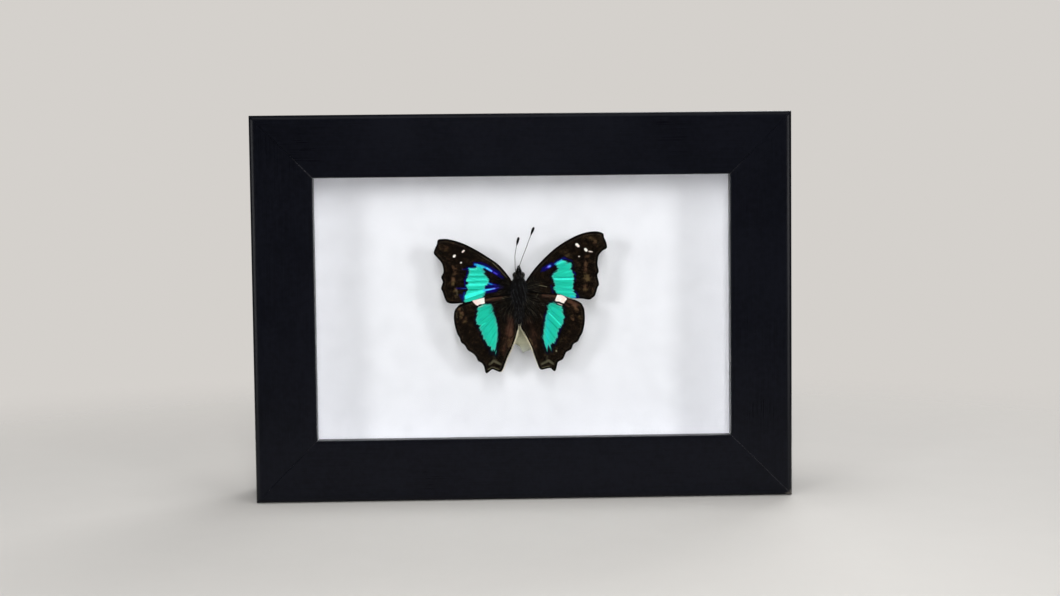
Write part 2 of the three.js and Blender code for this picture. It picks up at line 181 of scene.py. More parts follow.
RIGHT_FOREWING = {
    "margin": [
        (2.9, 3.6), (5.6, 7.1), (9, 10.7), (12.9, 14.1), (17.4, 16.9), (21.9, 18.8), (26.1, 19.4),
        (28.7, 18.7), (29.1, 17.3), (29.7, 16), (30.1, 14.1), (29.7, 13.4), (28.6, 12.8), (27.3, 11.3),
        (26.9, 9.6), (26.8, 7.9), (27.2, 5.8), (26.7, 4.4), (27.3, 1.5), (26.8, 0.4), (25.9, -2.3),
        (25.1, -3.1), (23.8, -3.8), (20.6, -3.4), (13, -3.4), (6, -3), (2.2, -2.6),
    ],
    "root": (1.2, 0.4),
    "veins": [
        [(2.0, 2.4), (9, 9.4), (15.5, 14.6), (21.5, 17.9)],
        [(2.0, 1.9), (8.3, 7.6), (12.9, 11), (18.8, 15.2), (24.5, 18.1), (28.3, 18.8)],
        [(12.9, 10.7), (18, 12.6), (24, 14.6), (29.7, 15.2)],
        [(13.3, 9.3), (18.4, 10.1), (23, 10.2), (27.2, 10.4)],
        [(12.9, 10.9), (13.6, 9), (12.3, 6.3), (11.3, 5.0)],
        [(11.3, 5.0), (14.8, 3.9), (20.4, 4.6), (27.1, 5.6)],
        [(9.4, 3.5), (14.6, 2.2), (20.6, 1.8), (27.2, 1.5)],
        [(2.0, 0.6), (6.2, 2.2), (9.4, 3.5), (11.3, 5.0)],
        [(6.6, 2.2), (10.3, 1.3), (14.8, 0.2), (20, -0.8), (26.3, -1.6)],
        [(2.0, -0.4), (7, -0.2), (12, -1.2), (16, -2.2), (19.5, -2.9), (24, -3.7)],
    ],
    "band": [
        (12.2, 8.4), (13.4, 9.3), (14.5, 9.8), (15.5, 9.8), (16, 9.5), (16.3, 8.9), (17.2, 9), (18, 8.6),
        (18.2, 7.5), (17.7, 6.6), (18.5, 5.8), (18.6, 4.4), (18.9, 3.4), (18.6, 1.9), (18.4, 0),
        (18.9, -1.3), (19.5, -2.2), (19.3, -3.1), (18.2, -3.6), (16, -4.2), (13.3, -2.8), (12.6, -1.1),
        (11.7, 0.3), (12.3, 1.3), (11.9, 2.5), (11.6, 3.4), (11.2, 4.2), (11.9, 5.4), (13.1, 6.2),
        (13.2, 7.2), (12.7, 7.9),
    ],
    "white": [
        (19.8, 15.0, 20.4, 14.4, 0.5), (22.7, 13.3, 23.1, 12.9, 0.46), (23.9, 12.6, 25.1, 12.4, 0.26),
        (20.5, 10.9, 20.7, 10.9, 0.26),
    ],
    # Painted highlight and painted shade: streaks that light and darken the band
    "painted_band_light": [
        (12.0, 3.3, 18.6, 3.2, 0.42, 1.3), (12.6, 8.2, 15.6, 9.6, 0.6, 1.2),
        (12.2, 5.8, 18.2, 5.7, 0.3, 0.35), (12.2, 0.5, 18.2, 0.5, 0.35, 0.4),
        (13.2, -0.9, 18.8, -1.2, 0.4, 0.6), (14.4, -2.4, 19.2, -2.7, 0.6, 0.7),
        (16.4, 8.2, 17.8, 8.0, 0.5, 0.4), (12.0, 3.95, 18.6, 3.85, 0.16, -1.2),
        (12.2, 1.6, 18.4, 1.3, 0.25, -0.4), (13.4, 6.9, 18.0, 6.6, 0.3, -0.4),
        (13.0, 7.6, 16.6, 8.6, 0.35, -0.6), (12.8, -1.7, 18.5, -1.9, 0.3, -0.3),
    ],
    "blue": [
        (10.1, 7.5, 10.6, 7.75, 0.55, 1.75), (9.2, 7.1, 9.8, 7.35, 0.6, 0.8),
        (8.5, 6.7, 11.2, 8.2, 0.85, 0.62), (12.2, 8.4, 14.7, 9.8, 0.5, 0.9),
        (12.6, 9.2, 15.6, 10.6, 0.45, 0.45), (15.3, 10.3, 16.3, 10.2, 0.3, 0.7),
        (16.0, 10.2, 18.2, 9.4, 0.4, 0.35), (16.4, 8.9, 17.9, 7.9, 0.45, 0.4),
        (18.6, 8.8, 18.6, 5.8, 0.4, 0.2), (17.4, 6.2, 18.8, 5.4, 0.4, 0.5),
        (19.0, 5.4, 19.3, 4.6, 0.35, 0.45), (18.9, 3.6, 19.2, 3.2, 0.3, 0.5),
        (17.9, -2.6, 19.3, -3.1, 0.4, 1.0), (19.3, -1.2, 20.2, -3.0, 0.55, 0.4),
        (11.0, 1.2, 11.6, -1.4, 0.6, 0.3), (12.0, 5.2, 11.6, 4.4, 0.4, 0.5),
        (7.6, 5.9, 8.8, 6.8, 0.35, 0.4),
    ],
    "brown": [
        (23.2, 10.9, 22.9, 10.5, 0.9, 1.0), (22.8, 8.9, 22.9, 8.2, 0.9, 1.1),
        (22.6, 6.7, 22.9, 6.1, 0.8, 0.9), (23.0, 4.6, 23.4, 3.2, 1.0, 1.35),
        (22.4, 0.9, 22.5, -0.3, 1.1, 1.05), (25.2, 0.2, 25.2, -1.6, 0.5, 0.6),
        (26.0, 15.8, 26.4, 14.6, 0.9, 0.9), (24.4, 17.3, 25.4, 16.6, 0.8, 0.8),
        (14.4, 12.7, 15.4, 12.5, 0.9, 0.6), (15.8, 11.6, 17.2, 11.4, 0.9, 0.7),
        (22.2, 17.2, 23.6, 17.5, 0.5, 0.5), (20.2, 7.0, 20.4, 3.0, 1.1, 0.3),
        (6.0, 3.0, 4.2, 1.6, 1.4, 0.3),
    ],
    "olive_and_edge_highlight": [
        (6.0, 6.6, 8.4, 9.0, 0.2, 0.6), (7.0, 6.6, 8.2, 8.0, 0.2, 0.4),
        (12.6, 10.8, 11.2, 10.2, 0.5, 0.3), (3.8, 1.3, 6.4, 1.4, 0.09, 1.3),
        (6.4, 1.4, 9.6, 0.7, 0.1, 1.5), (5.0, 2.3, 7.6, 2.5, 0.1, 0.6),
        (26.0, 14.8, 27.4, 15.6, 0.7, 0.4), (5.0, -1.4, 8.0, -2.0, 0.3, 0.5),
    ],
    "red": [
        (18.9, 9.6, 20.4, 8.6, 0.7, 0.35), (7.0, 7.6, 8.4, 8.0, 0.5, 0.25),
        (8.4, -2.4, 12.4, -2.6, 0.6, 0.4),
    ],
    # Painted highlight over the whole band
    "painted_band_lift": 0.12,
    "violet": 1.0,
}
LEFT_HINDWING = {
    "margin": [
        (-1.6, -1.4), (-7.6, -2), (-11.4, -2.6), (-14.8, -3.4), (-19.7, -4.7), (-21, -5.7), (-21.9, -7),
        (-22.2, -9.3), (-21.9, -11.9), (-21.1, -14.9), (-20.3, -16.2), (-19.9, -17.7), (-18.6, -18.8),
        (-17.6, -20.5), (-15.9, -21.6), (-14.9, -22.7), (-14.2, -24.2), (-13, -24.9), (-12.2, -26.1),
        (-11.8, -27.9), (-11.3, -28.5), (-10.4, -27.9), (-9.3, -27.2), (-7.9, -27.7), (-6.6, -28.1),
        (-5.7, -27.1), (-4.2, -23.3), (-2.6, -20.1), (-1.5, -17.7), (-0.6, -15.6), (-0.3, -13.2),
        (-0.3, -9.5),
    ],
    "root": (-0.9, -2.6),
    "veins": [
        [(-1.5, -2.4), (-8, -3.3), (-12.3, -4.7), (-14.6, -5.4), (-17.2, -6.4), (-21.0, -7.4)],
        [(-6.4, -4.4), (-12.5, -7), (-18, -9.8), (-22, -11.4)],
        [(-7.4, -6.2), (-12.6, -10.4), (-17.5, -14), (-20.6, -15.9)],
        [(-7.4, -8), (-12, -13), (-16, -17), (-18.3, -19.3)],
        [(-6.6, -9.4), (-10.5, -14.8), (-13.4, -19), (-15.6, -21.9)],
        [(-5.4, -10), (-8.8, -15.8), (-11.2, -20.6), (-13, -24.8)],
        [(-4.1, -9.2), (-6.7, -15.8), (-8.9, -22), (-10.9, -28)],
        [(-2.0, -8), (-3.9, -15.5), (-5.2, -22), (-6.6, -27.6)],
        [
            (-1.2, -2.9), (-4.5, -3.9), (-6.4, -4.4), (-7.4, -6.2), (-7.4, -8), (-6.6, -9.4), (-5.4, -10),
            (-4.1, -9.2),
        ],
    ],
    "band": [
        (-14, -5.7), (-12.3, -5.1), (-10.9, -4.9), (-9.4, -4.8), (-9, -5.7), (-8.9, -6.9), (-8.4, -8.3),
        (-7.9, -9.7), (-7.7, -11), (-7.4, -13.1), (-7.3, -14.5), (-7.5, -16.5), (-7.8, -18.6),
        (-8, -20.6), (-8.1, -22.3), (-8.8, -20.2), (-9.5, -21.7), (-9.9, -19.5), (-11.0, -19.1),
        (-11.4, -18), (-11.9, -17.3), (-12.6, -15.8), (-13.1, -14.4), (-13.2, -13.7), (-14, -12.8),
        (-13.4, -12.2), (-14.4, -11.6), (-14.5, -10.6), (-14.7, -9.8), (-14.4, -8.4), (-14.1, -6.9),
    ],
    "white": [
        [
            (-16.1, -3.4), (-14.3, -2.5), (-12.8, -2.2), (-11.9, -2.4), (-11.6, -4), (-11.8, -4.7),
            (-13.3, -5.0), (-14.2, -5.4), (-15.3, -4.6),
        ],
        (-13.7, -5.8, -12.3, -5.45, 0.15),
    ],
    # Painted highlight and painted shade: streaks that light and darken the band
    "painted_band_light": [
        (-13.4, -12.5, -11.6, -11.3, 0.22, 1.2), (-12.5, -9.0, -10.4, -8.4, 0.5, 0.3),
        (-10.4, -13, -9.4, -17, 0.7, 0.35), (-13.6, -10.4, -9.0, -6.6, 0.2, -0.35),
        (-13.2, -13.2, -8.6, -8.6, 0.2, -0.3), (-12.0, -16.2, -8.2, -10, 0.2, -0.3),
        (-8.2, -20.5, -8.0, -14, 0.3, 0.25), (-12.6, -6.0, -10.0, -5.6, 0.4, -0.3),
    ],
    "blue": [(-14.9, -9.0, -14.6, -11.0, 0.5, 0.25), (-9.0, -6.0, -8.2, -9.0, 0.4, 0.2)],
    "brown": [
        (-20.4, -6.5, -19.4, -8.2, 0.7, 1.3), (-18.2, -9.8, -18.6, -10.4, 0.7, 1.3),
        (-19.8, -9.0, -19.4, -9.6, 0.5, 0.9), (-2.4, -16.6, -3.2, -19.2, 0.55, 1.1),
        (-17.2, -5.2, -18.6, -5.6, 0.6, 0.6), (-17.0, -13.4, -17.2, -14.4, 0.8, 0.4),
        (-15.4, -16.6, -14.4, -18.0, 0.8, 0.4), (-3.0, -13.5, -3.8, -19, 1.2, 0.8),
        (-16.4, -4.4, -15.6, -5.2, 0.5, 0.6), (-12.2, -20.8, -11.4, -21.8, 0.6, 0.3),
    ],
    "olive_and_edge_highlight": [
        (-21.5, -7.4, -21.0, -9.4, 0.16, 0.8), (-20.9, -10.4, -20.3, -13.2, 0.16, 0.45),
        (-19.3, -15.2, -18.6, -16.8, 0.16, 0.4), (-10.2, -25.5, -8.8, -24.3, 0.75, 0.8),
        (-8.8, -24.3, -6.7, -25.4, 0.75, 0.8), (-10.4, -26.5, -8.9, -25.5, 0.28, -1.6),
        (-8.9, -25.5, -6.4, -26.6, 0.28, -1.6), (-6.3, -1.5, -5.9, -2.3, 0.12, 1.1),
        (-5.7, -2.9, -5.2, -3.1, 0.3, 1.2), (-10.9, -27.3, -9.5, -26.4, 0.13, 1.6),
        (-9.5, -26.4, -6.9, -27.3, 0.13, 1.6), (-8.6, -23.0, -8.2, -24.0, 0.8, 0.5),
        (-17.0, -18.4, -15.6, -19.8, 0.2, 0.4), (-14.4, -20.6, -13.2, -22.0, 0.2, 0.4),
        (-19.5, -5.9, -18.9, -6.9, 0.3, 0.6),
    ],
    "fold": [
        (-11.0, 0.5, 0.0), (-13.0, 1.0, 0.2), (-15.0, 1.8, 0.6), (-16.5, 2.4, 1.0), (-17.6, 2.7, 1.5),
        (-18.3, 2.6, 1.8),
    ],
    "red": [
        (-11.2, -3.3, -6.5, -2.8, 0.9, 1.4), (-3.0, -10.2, -3.3, -15.0, 1.5, 1.2),
        (-3.4, -15.0, -3.9, -19.5, 1.3, 0.5), (-16.2, -3.9, -17.6, -4.5, 0.5, 0.5),
        (-4.8, -17, -5.4, -22, 1.3, 0.5),
    ],
    "cream": [
        (-0.4, -14.0, -1.4, -17.7, 0.3, 1.0), (-1.4, -17.7, -2.4, -20.0, 0.36, 1.0),
        (-2.4, -20.0, -2.8, -20.9, 0.26, 0.8),
    ],
    # Painted shade over the whole band
    "painted_band_lift": -0.12,
}
RIGHT_HINDWING = {
    "margin": [
        (1.6, -0.4), (8.9, -1.3), (11.9, -1.5), (14, -1.9), (18.2, -3.4), (20.8, -4.7), (21.7, -5.9),
        (22.2, -7.4), (22.3, -11), (21.6, -14.6), (20.7, -16.3), (19.8, -18), (18.3, -18.9),
        (17.6, -20.6), (15.9, -21.6), (15.3, -22.9), (14.6, -24.1), (13.1, -24.9), (12.7, -26.1),
        (12.3, -27.6), (11.8, -28.1), (11.2, -27.7), (10.3, -27), (8.6, -27.3), (7.4, -27.5),
        (6.5, -26.6), (4.9, -22.3), (4.3, -20.8), (3.25, -18.2), (2.2, -16.3), (1.2, -14.4), (0.5, -13),
        (0.3, -9.5),
    ],
    "root": (0.9, -2.0),
    "veins": [
        [(1.5, -1.6), (8, -2.5), (11.9, -4.3), (13.9, -5.0), (16.3, -6.5), (21.4, -8.2)],
        [(6.4, -3.6), (12.5, -6.4), (18, -9.6), (22.2, -11.6)],
        [(7.4, -5.4), (12.6, -10), (17.5, -13.9), (20.9, -16)],
        [(7.4, -7.4), (12, -12.6), (16, -16.8), (18.5, -19.2)],
        [(6.6, -8.8), (10.5, -14.4), (13.4, -18.8), (15.9, -21.8)],
        [(5.4, -9.4), (8.8, -15.4), (11.2, -20.4), (13.3, -24.8)],
        [(4.1, -8.8), (6.9, -15.4), (9.3, -21.8), (11.6, -27.8)],
        [(2.0, -7.8), (4.1, -15), (5.5, -21.5), (7, -27)],
        [
            (1.2, -2.3), (4.5, -3.2), (6.4, -3.6), (7.4, -5.4), (7.4, -7.4), (6.6, -8.8), (5.4, -9.4),
            (4.1, -8.8),
        ],
    ],
    "band": [
        (10.2, -5), (11.4, -4.5), (12.6, -5), (14.4, -6), (14.9, -6.9), (14.9, -7.9), (15.5, -9.8),
        (14.9, -10.7), (15.2, -12), (14, -12.9), (13.4, -14.1), (13.1, -15.4), (12.8, -16.6),
        (12.3, -17.5), (11.9, -18.8), (11.1, -18.6), (10.6, -19.2), (10.8, -21.1), (10.3, -20.5),
        (9.8, -19.2), (9.4, -21.6), (8.8, -20.2), (8.2, -17.7), (8, -16), (8.3, -13.6), (8.6, -11.3),
        (9.1, -8.9), (9.7, -6.7), (9.5, -5.6),
    ],
    "white": [
        [
            (13, -1.9), (14.6, -2.1), (16, -3), (16.3, -3.5), (15.6, -4.5), (15.1, -5), (13.6, -4.4),
            (12.2, -4.1), (12.6, -2.9),
        ],
        (13.1, -4.95, 14.6, -5.55, 0.2),
        (15.4, -2.6, 18.8, -3.75, 0.09),
    ],
    # Painted highlight and painted shade: streaks that light and darken the band
    "painted_band_light": [
        (10.2, -8.2, 14.0, -12.2, 0.28, 1.4), (11.6, -6.6, 14.6, -9.0, 0.5, 0.35),
        (9.4, -12, 9.0, -18, 0.8, 0.35), (9.8, -10.2, 13.4, -14.0, 0.2, -0.4),
        (11.0, -7.4, 14.8, -11.0, 0.2, -0.45), (10.0, -18.6, 10.6, -20.0, 0.3, 0.4),
        (9.0, -12.4, 12.2, -17.0, 0.2, -0.35), (10.6, -4.9, 13.6, -6.2, 0.4, -0.5),
    ],
    "blue": [(9.7, -9.0, 9.6, -19.0, 1.3, 0.5), (14.2, -12.9, 12.0, -18.6, 0.6, 0.3)],
    "brown": [
        (18.6, -5.6, 19.6, -7.2, 0.8, 1.4), (18.0, -9.4, 18.2, -10.2, 0.8, 1.2),
        (20.6, -9.4, 20.6, -10.2, 0.5, 1.0), (3.3, -16.8, 4.3, -18.8, 0.5, 1.2),
        (17.0, -13.0, 17.4, -14.2, 0.8, 0.4), (15.4, -16.4, 14.4, -17.8, 0.8, 0.4),
        (13.4, -19.6, 12.4, -21.2, 0.7, 0.4), (5.2, -19, 5.8, -24, 0.8, 0.4),
        (18.6, -4.6, 20.4, -5.6, 0.5, 0.6), (10.9, -2.4, 12.3, -2.6, 0.5, 0.6),
    ],
    "olive_and_edge_highlight": [
        (21.4, -7.6, 21.5, -9.4, 0.16, 0.6), (21.2, -10.6, 20.6, -13.2, 0.16, 0.4),
        (19.7, -15.4, 18.9, -17.0, 0.16, 0.4), (7.7, -25.6, 9.8, -24.4, 0.75, 0.8),
        (9.8, -24.4, 11.3, -25.5, 0.75, 0.8), (7.5, -26.4, 9.9, -25.6, 0.26, -1.6),
        (9.9, -25.6, 11.6, -26.8, 0.26, -1.6), (7.4, -26.9, 10.1, -26.35, 0.13, 1.5),
        (10.1, -26.35, 11.7, -27.5, 0.13, 1.5), (9.4, -23.0, 9.2, -24.0, 0.8, 0.5),
        (17.0, -18.6, 15.8, -19.9, 0.2, 0.4), (14.8, -20.6, 13.6, -22.2, 0.2, 0.4),
        # The strokes from (5.7, -2.6) on are a painted highlight along the hindwing's front edge
        (12.45, -21.0, 12.55, -21.3, 0.24, 1.8), (5.7, -2.6, 6.8, -1.2, 0.1, 1.3),
        (6.8, -1.2, 9.6, -1.6, 0.12, 1.5),
    ],
    "fold": [
        (-11.0, 0.8, 0.0), (-13.0, 1.2, 0.2), (-15.0, 2.2, 0.8), (-17.0, 3.1, 1.2), (-19.0, 3.5, 1.4),
        (-20.4, 3.3, 1.5),
    ],
    "red": [
        (8.2, -2.2, 12.2, -2.3, 0.7, 1.2), (16.6, -3.6, 19.4, -5.6, 0.9, 1.3),
        (15.8, -5.2, 16.8, -6.0, 0.5, 0.9), (3.6, -10.4, 5.4, -20, 1.7, 0.55),
        (19.6, -7.4, 18.8, -8.0, 0.6, 0.3),
    ],
    "cream": [
        (2.1, -16.2, 3.15, -18.3, 0.32, 1.0), (3.15, -18.3, 4.2, -20.8, 0.36, 1.0),
        (4.2, -20.8, 4.5, -21.7, 0.26, 0.8),
    ],
    # Painted shade over the whole band
    "painted_band_lift": -0.12,
}
WINGS = {
    "forewing_left": (LEFT_FOREWING, FOREWING_Y),
    "forewing_right": (RIGHT_FOREWING, FOREWING_Y),
    "hindwing_left": (LEFT_HINDWING, HINDWING_Y),
    "hindwing_right": (RIGHT_HINDWING, HINDWING_Y),
}
FIELDS = ("painted_band_light", "blue", "brown", "olive_and_edge_highlight", "red", "cream")

# (radius, z) of the body from the front of the head to the tip of the abdomen
BODY = [
    (0.0, 6.15), (0.75, 5.95), (1.3, 5.4), (1.55, 4.6), (1.6, 4.0), (2.0, 3.4), (2.35, 2.6), (2.6, 1.0),
    (2.65, -0.8), (2.5, -2.6), (1.95, -4.0), (1.5, -5.0), (1.62, -6.3), (1.6, -8.0), (1.3, -10.0),
    (0.8, -11.5), (0.0, -12.2),
]
BODY_DEPTH = 0.85  # of the body from front to back, as a share of its width
WAIST = -4.2  # height where the thorax ends and the abdomen begins
SEGMENT = 1.15  # length of one segment of the abdomen
# The right eye and palp, the left ones being their mirror images: (x, y, z), and a palp's radius at each
EYE = {"at": (1.18, -0.4, 4.85), "radii": (0.98, 0.95, 1.05)}
PALP = [(0.62, -0.55, 5.0), (0.52, -0.85, 6.1), (0.3, -0.8, 7.2), (0.1, -0.6, 8.0)]
PALP_RADII = [0.5, 0.52, 0.34, 0.08]
CLUB = 3.2  # length of an antenna's club
JOINT = 0.36  # length of one joint of an antenna's stalk
TIP = [0.96, 0.86, 0.7, 0.46, 0.14]  # shares of the radius at a club's last rings
FOLD_DEPTH = 3.4  # how far a hindwing's inner edge turns back
FOLD_SKIN = 0.12  # thickness of that fold
ANTENNAE = {  # (x, y, z) from the socket to the tip
    "antenna_left": [
        (-1.0, -0.5, 5.7), (-1.15, -0.3, 6.9), (-1.2, -0.6, 9), (-1.2, -1.1, 11.5), (-0.8, -1.5, 14),
        (-0.1, -1.8, 16.9), (0.2, -1.9, 17.7),
    ],
    "antenna_right": [
        (0.2, -0.5, 5.9), (0.35, -0.1, 8.0), (1.4, -0.6, 11), (2.6, -1.1, 14), (3.7, -1.5, 17),
        (5.1, -1.9, 20.6), (5.3, -1.95, 21.1),
    ],
}

# How many hairs a hindwing's base, a forewing's base, a hindwing's fringe, the face and a palp have; the
# body's number is a user's choice
HINDWING_HAIRS = 1300
FOREWING_HAIRS = 800
FRINGE_HAIRS = 900
FACE_HAIRS = 700
PALP_HAIRS = 260

# Radius of a hair at its root
LONG_HAIR = 0.026
FACE_HAIR = 0.022
PALP_HAIR = 0.02
FRINGE_HAIR = 0.014

# ------------------------------------------------------------------------------------------------ the stage

FLOOR_RINGS = np.array([1.0, 60.0, 200.0, 600.0, 1500.0])  # radii
FLOOR_Z = -0.05  # just under the frame
CAMERA_PLACE = Vector((-11.95, -549.59, 98.75))
VIEW_RIGHT = (0.9996, -0.0273, -0.0112)  # the camera's three axes
VIEW_UP = (0.0128, 0.058, 0.9982)
VIEW_AHEAD = (0.0266, 0.9979, -0.0583)

# The rest of the stage is in metres, and a turn to the right or a rise from level is in degrees
FLOOR_FADE = (0.12, 0.42)  # where the floor starts to fade and where it has gone
LAMP_AWAY = 1.3
WINDOW_AWAY = 0.6
WINDOW_RISE = 15
WINDOW_SIZE = (0.08, 0.37)
SIDE_LAMP_TURN = 33.5
SIDE_LAMP_RISE = 9
SIDE_LAMP_SIZE = 0.3
OVERHEAD_LAMP = (0.0, -0.12, 1.35)
BACK_LAMP = (0.5, 1.2, 0.9)
BIG_LAMP_SIZE = 0.9
GLEAM_WIDTH = 0.8
GLEAMS = (  # name, turn, rise, height, and share of the gleam's power
    ("gleam_left", -70, 1, 0.3, 1.0),
    ("gleam_right", 62, 1, 0.3, 1.2),
    ("gleam_top", 0, 72, 0.7, 0.7),
)


# ---------------------------------------------------------------------------------------- curves and fields


def unit(vectors):
    """Each row of vectors over its own length."""
    return vectors / np.linalg.norm(vectors, axis=1)[:, None]


def angles_round(count):
    """So many angles, evenly spaced once round."""
    return np.linspace(0, 2 * np.pi, count, endpoint=False)


def lengths_along(line):
    """Length of the line from its start to each of its points."""
    return np.concatenate([[0], np.cumsum(np.linalg.norm(np.diff(line, axis=0), axis=1))])


def smooth_line(points, steps=12):
    """Catmull-Rom line through points: on each span the cubic whose end slopes are half the chord between
    the neighbours, in steps pieces; the end points count twice."""
    p = np.asarray(points, float)
    p = np.vstack([p[:1], p, p[-1:]])
    t = np.linspace(0, 1, steps, endpoint=False)[None, :, None]
    a, b, c, d = (p[i : len(p) - 3 + i, None, :] for i in range(4))
    curve, twist = 2 * a - 5 * b + 4 * c - d, 3 * b - a - 3 * c + d
    line = 0.5 * (2 * b + (c - a) * t + curve * t**2 + twist * t**3)
    return np.vstack([line.reshape(-1, p.shape[1]), p[-1:]])


def even_line(points, count):
    """The same line at count points spaced evenly by its length."""
    line = smooth_line(points)
    at = lengths_along(line)
    want = np.linspace(0, at[-1], count)
    return np.stack([np.interp(want, at, line[:, k]) for k in range(line.shape[1])], 1)


def segment_distance(points, start, end):
    """Distance from each of N points to each of M segments, as N by M: the point less its nearest point on
    the segment, which is the foot of its perpendicular held between the segment's ends."""
    way = end - start
    rel = points[:, None, :] - start[None]
    t = np.clip((rel * way[None]).sum(2) / np.maximum((way**2).sum(1), 1e-12)[None], 0, 1)
    return np.linalg.norm(rel - t[:, :, None] * way[None], axis=2)


def inside_distance(points, outline):
    """Signed distance to a closed outline: positive inside, which an odd count of crossings tells."""
    start = np.asarray(outline, float)
    end = np.roll(start, -1, 0)
    apart = segment_distance(points, start, end).min(1)
    x, z = points[:, :1], points[:, 1:]
    spans = (start[None, :, 1] > z) != (end[None, :, 1] > z)
    rise = np.where(np.abs(end[:, 1] - start[:, 1]) < 1e-9, 1e-9, end[:, 1] - start[:, 1])
    cut = start[:, 0] + (z - start[:, 1]) * (end[:, 0] - start[:, 0]) / rise
    inside = (spans & (x < cut)).sum(1) % 2 == 1
    return np.where(inside, apart, -apart)


def stroke_field(points, strokes):
    """Sum of the strongest stroke above and below zero at each point; a stroke fades from its strength on
    its line by the bell curve of distance over width."""
    s = np.asarray(strokes, float)
    apart = segment_distance(points, s[:, 0:2], s[:, 2:4])
    value = s[None, :, 5] * np.exp(-((apart / s[None, :, 4]) ** 2))
    return value.max(1).clip(0) + value.min(1).clip(None, 0)


def line_distance(points, lines):
    """Distance from each point to the nearest of several smooth lines."""
    paths = [smooth_line(line, 5) for line in lines]
    start = np.vstack([p[:-1] for p in paths])
    end = np.vstack([p[1:] for p in paths])
    return segment_distance(points, start, end).min(1)


def slow_wave(x, z):
    """A gentle buckle shared by overlapping wings: three crossed sine waves, in millimetres."""
    long_wave = 0.1 * np.sin(0.31 * x + 0.9) * np.cos(0.27 * z)
    return long_wave + 0.06 * np.sin(0.52 * z - 0.33 * x) + 0.04 * np.sin(0.8 * x)


def hair_root(x, z, front, lift):
    """Places in the frame where hairs start on a wing's front, lift behind it: the wing's lean and its slow
    wave, without its veins."""
    return THORAX + np.stack([x, front - LEAN * np.abs(x) - slow_wave(x, z) + lift, z], 1)


# -------------------------------------------------------------------------------------------- mesh building


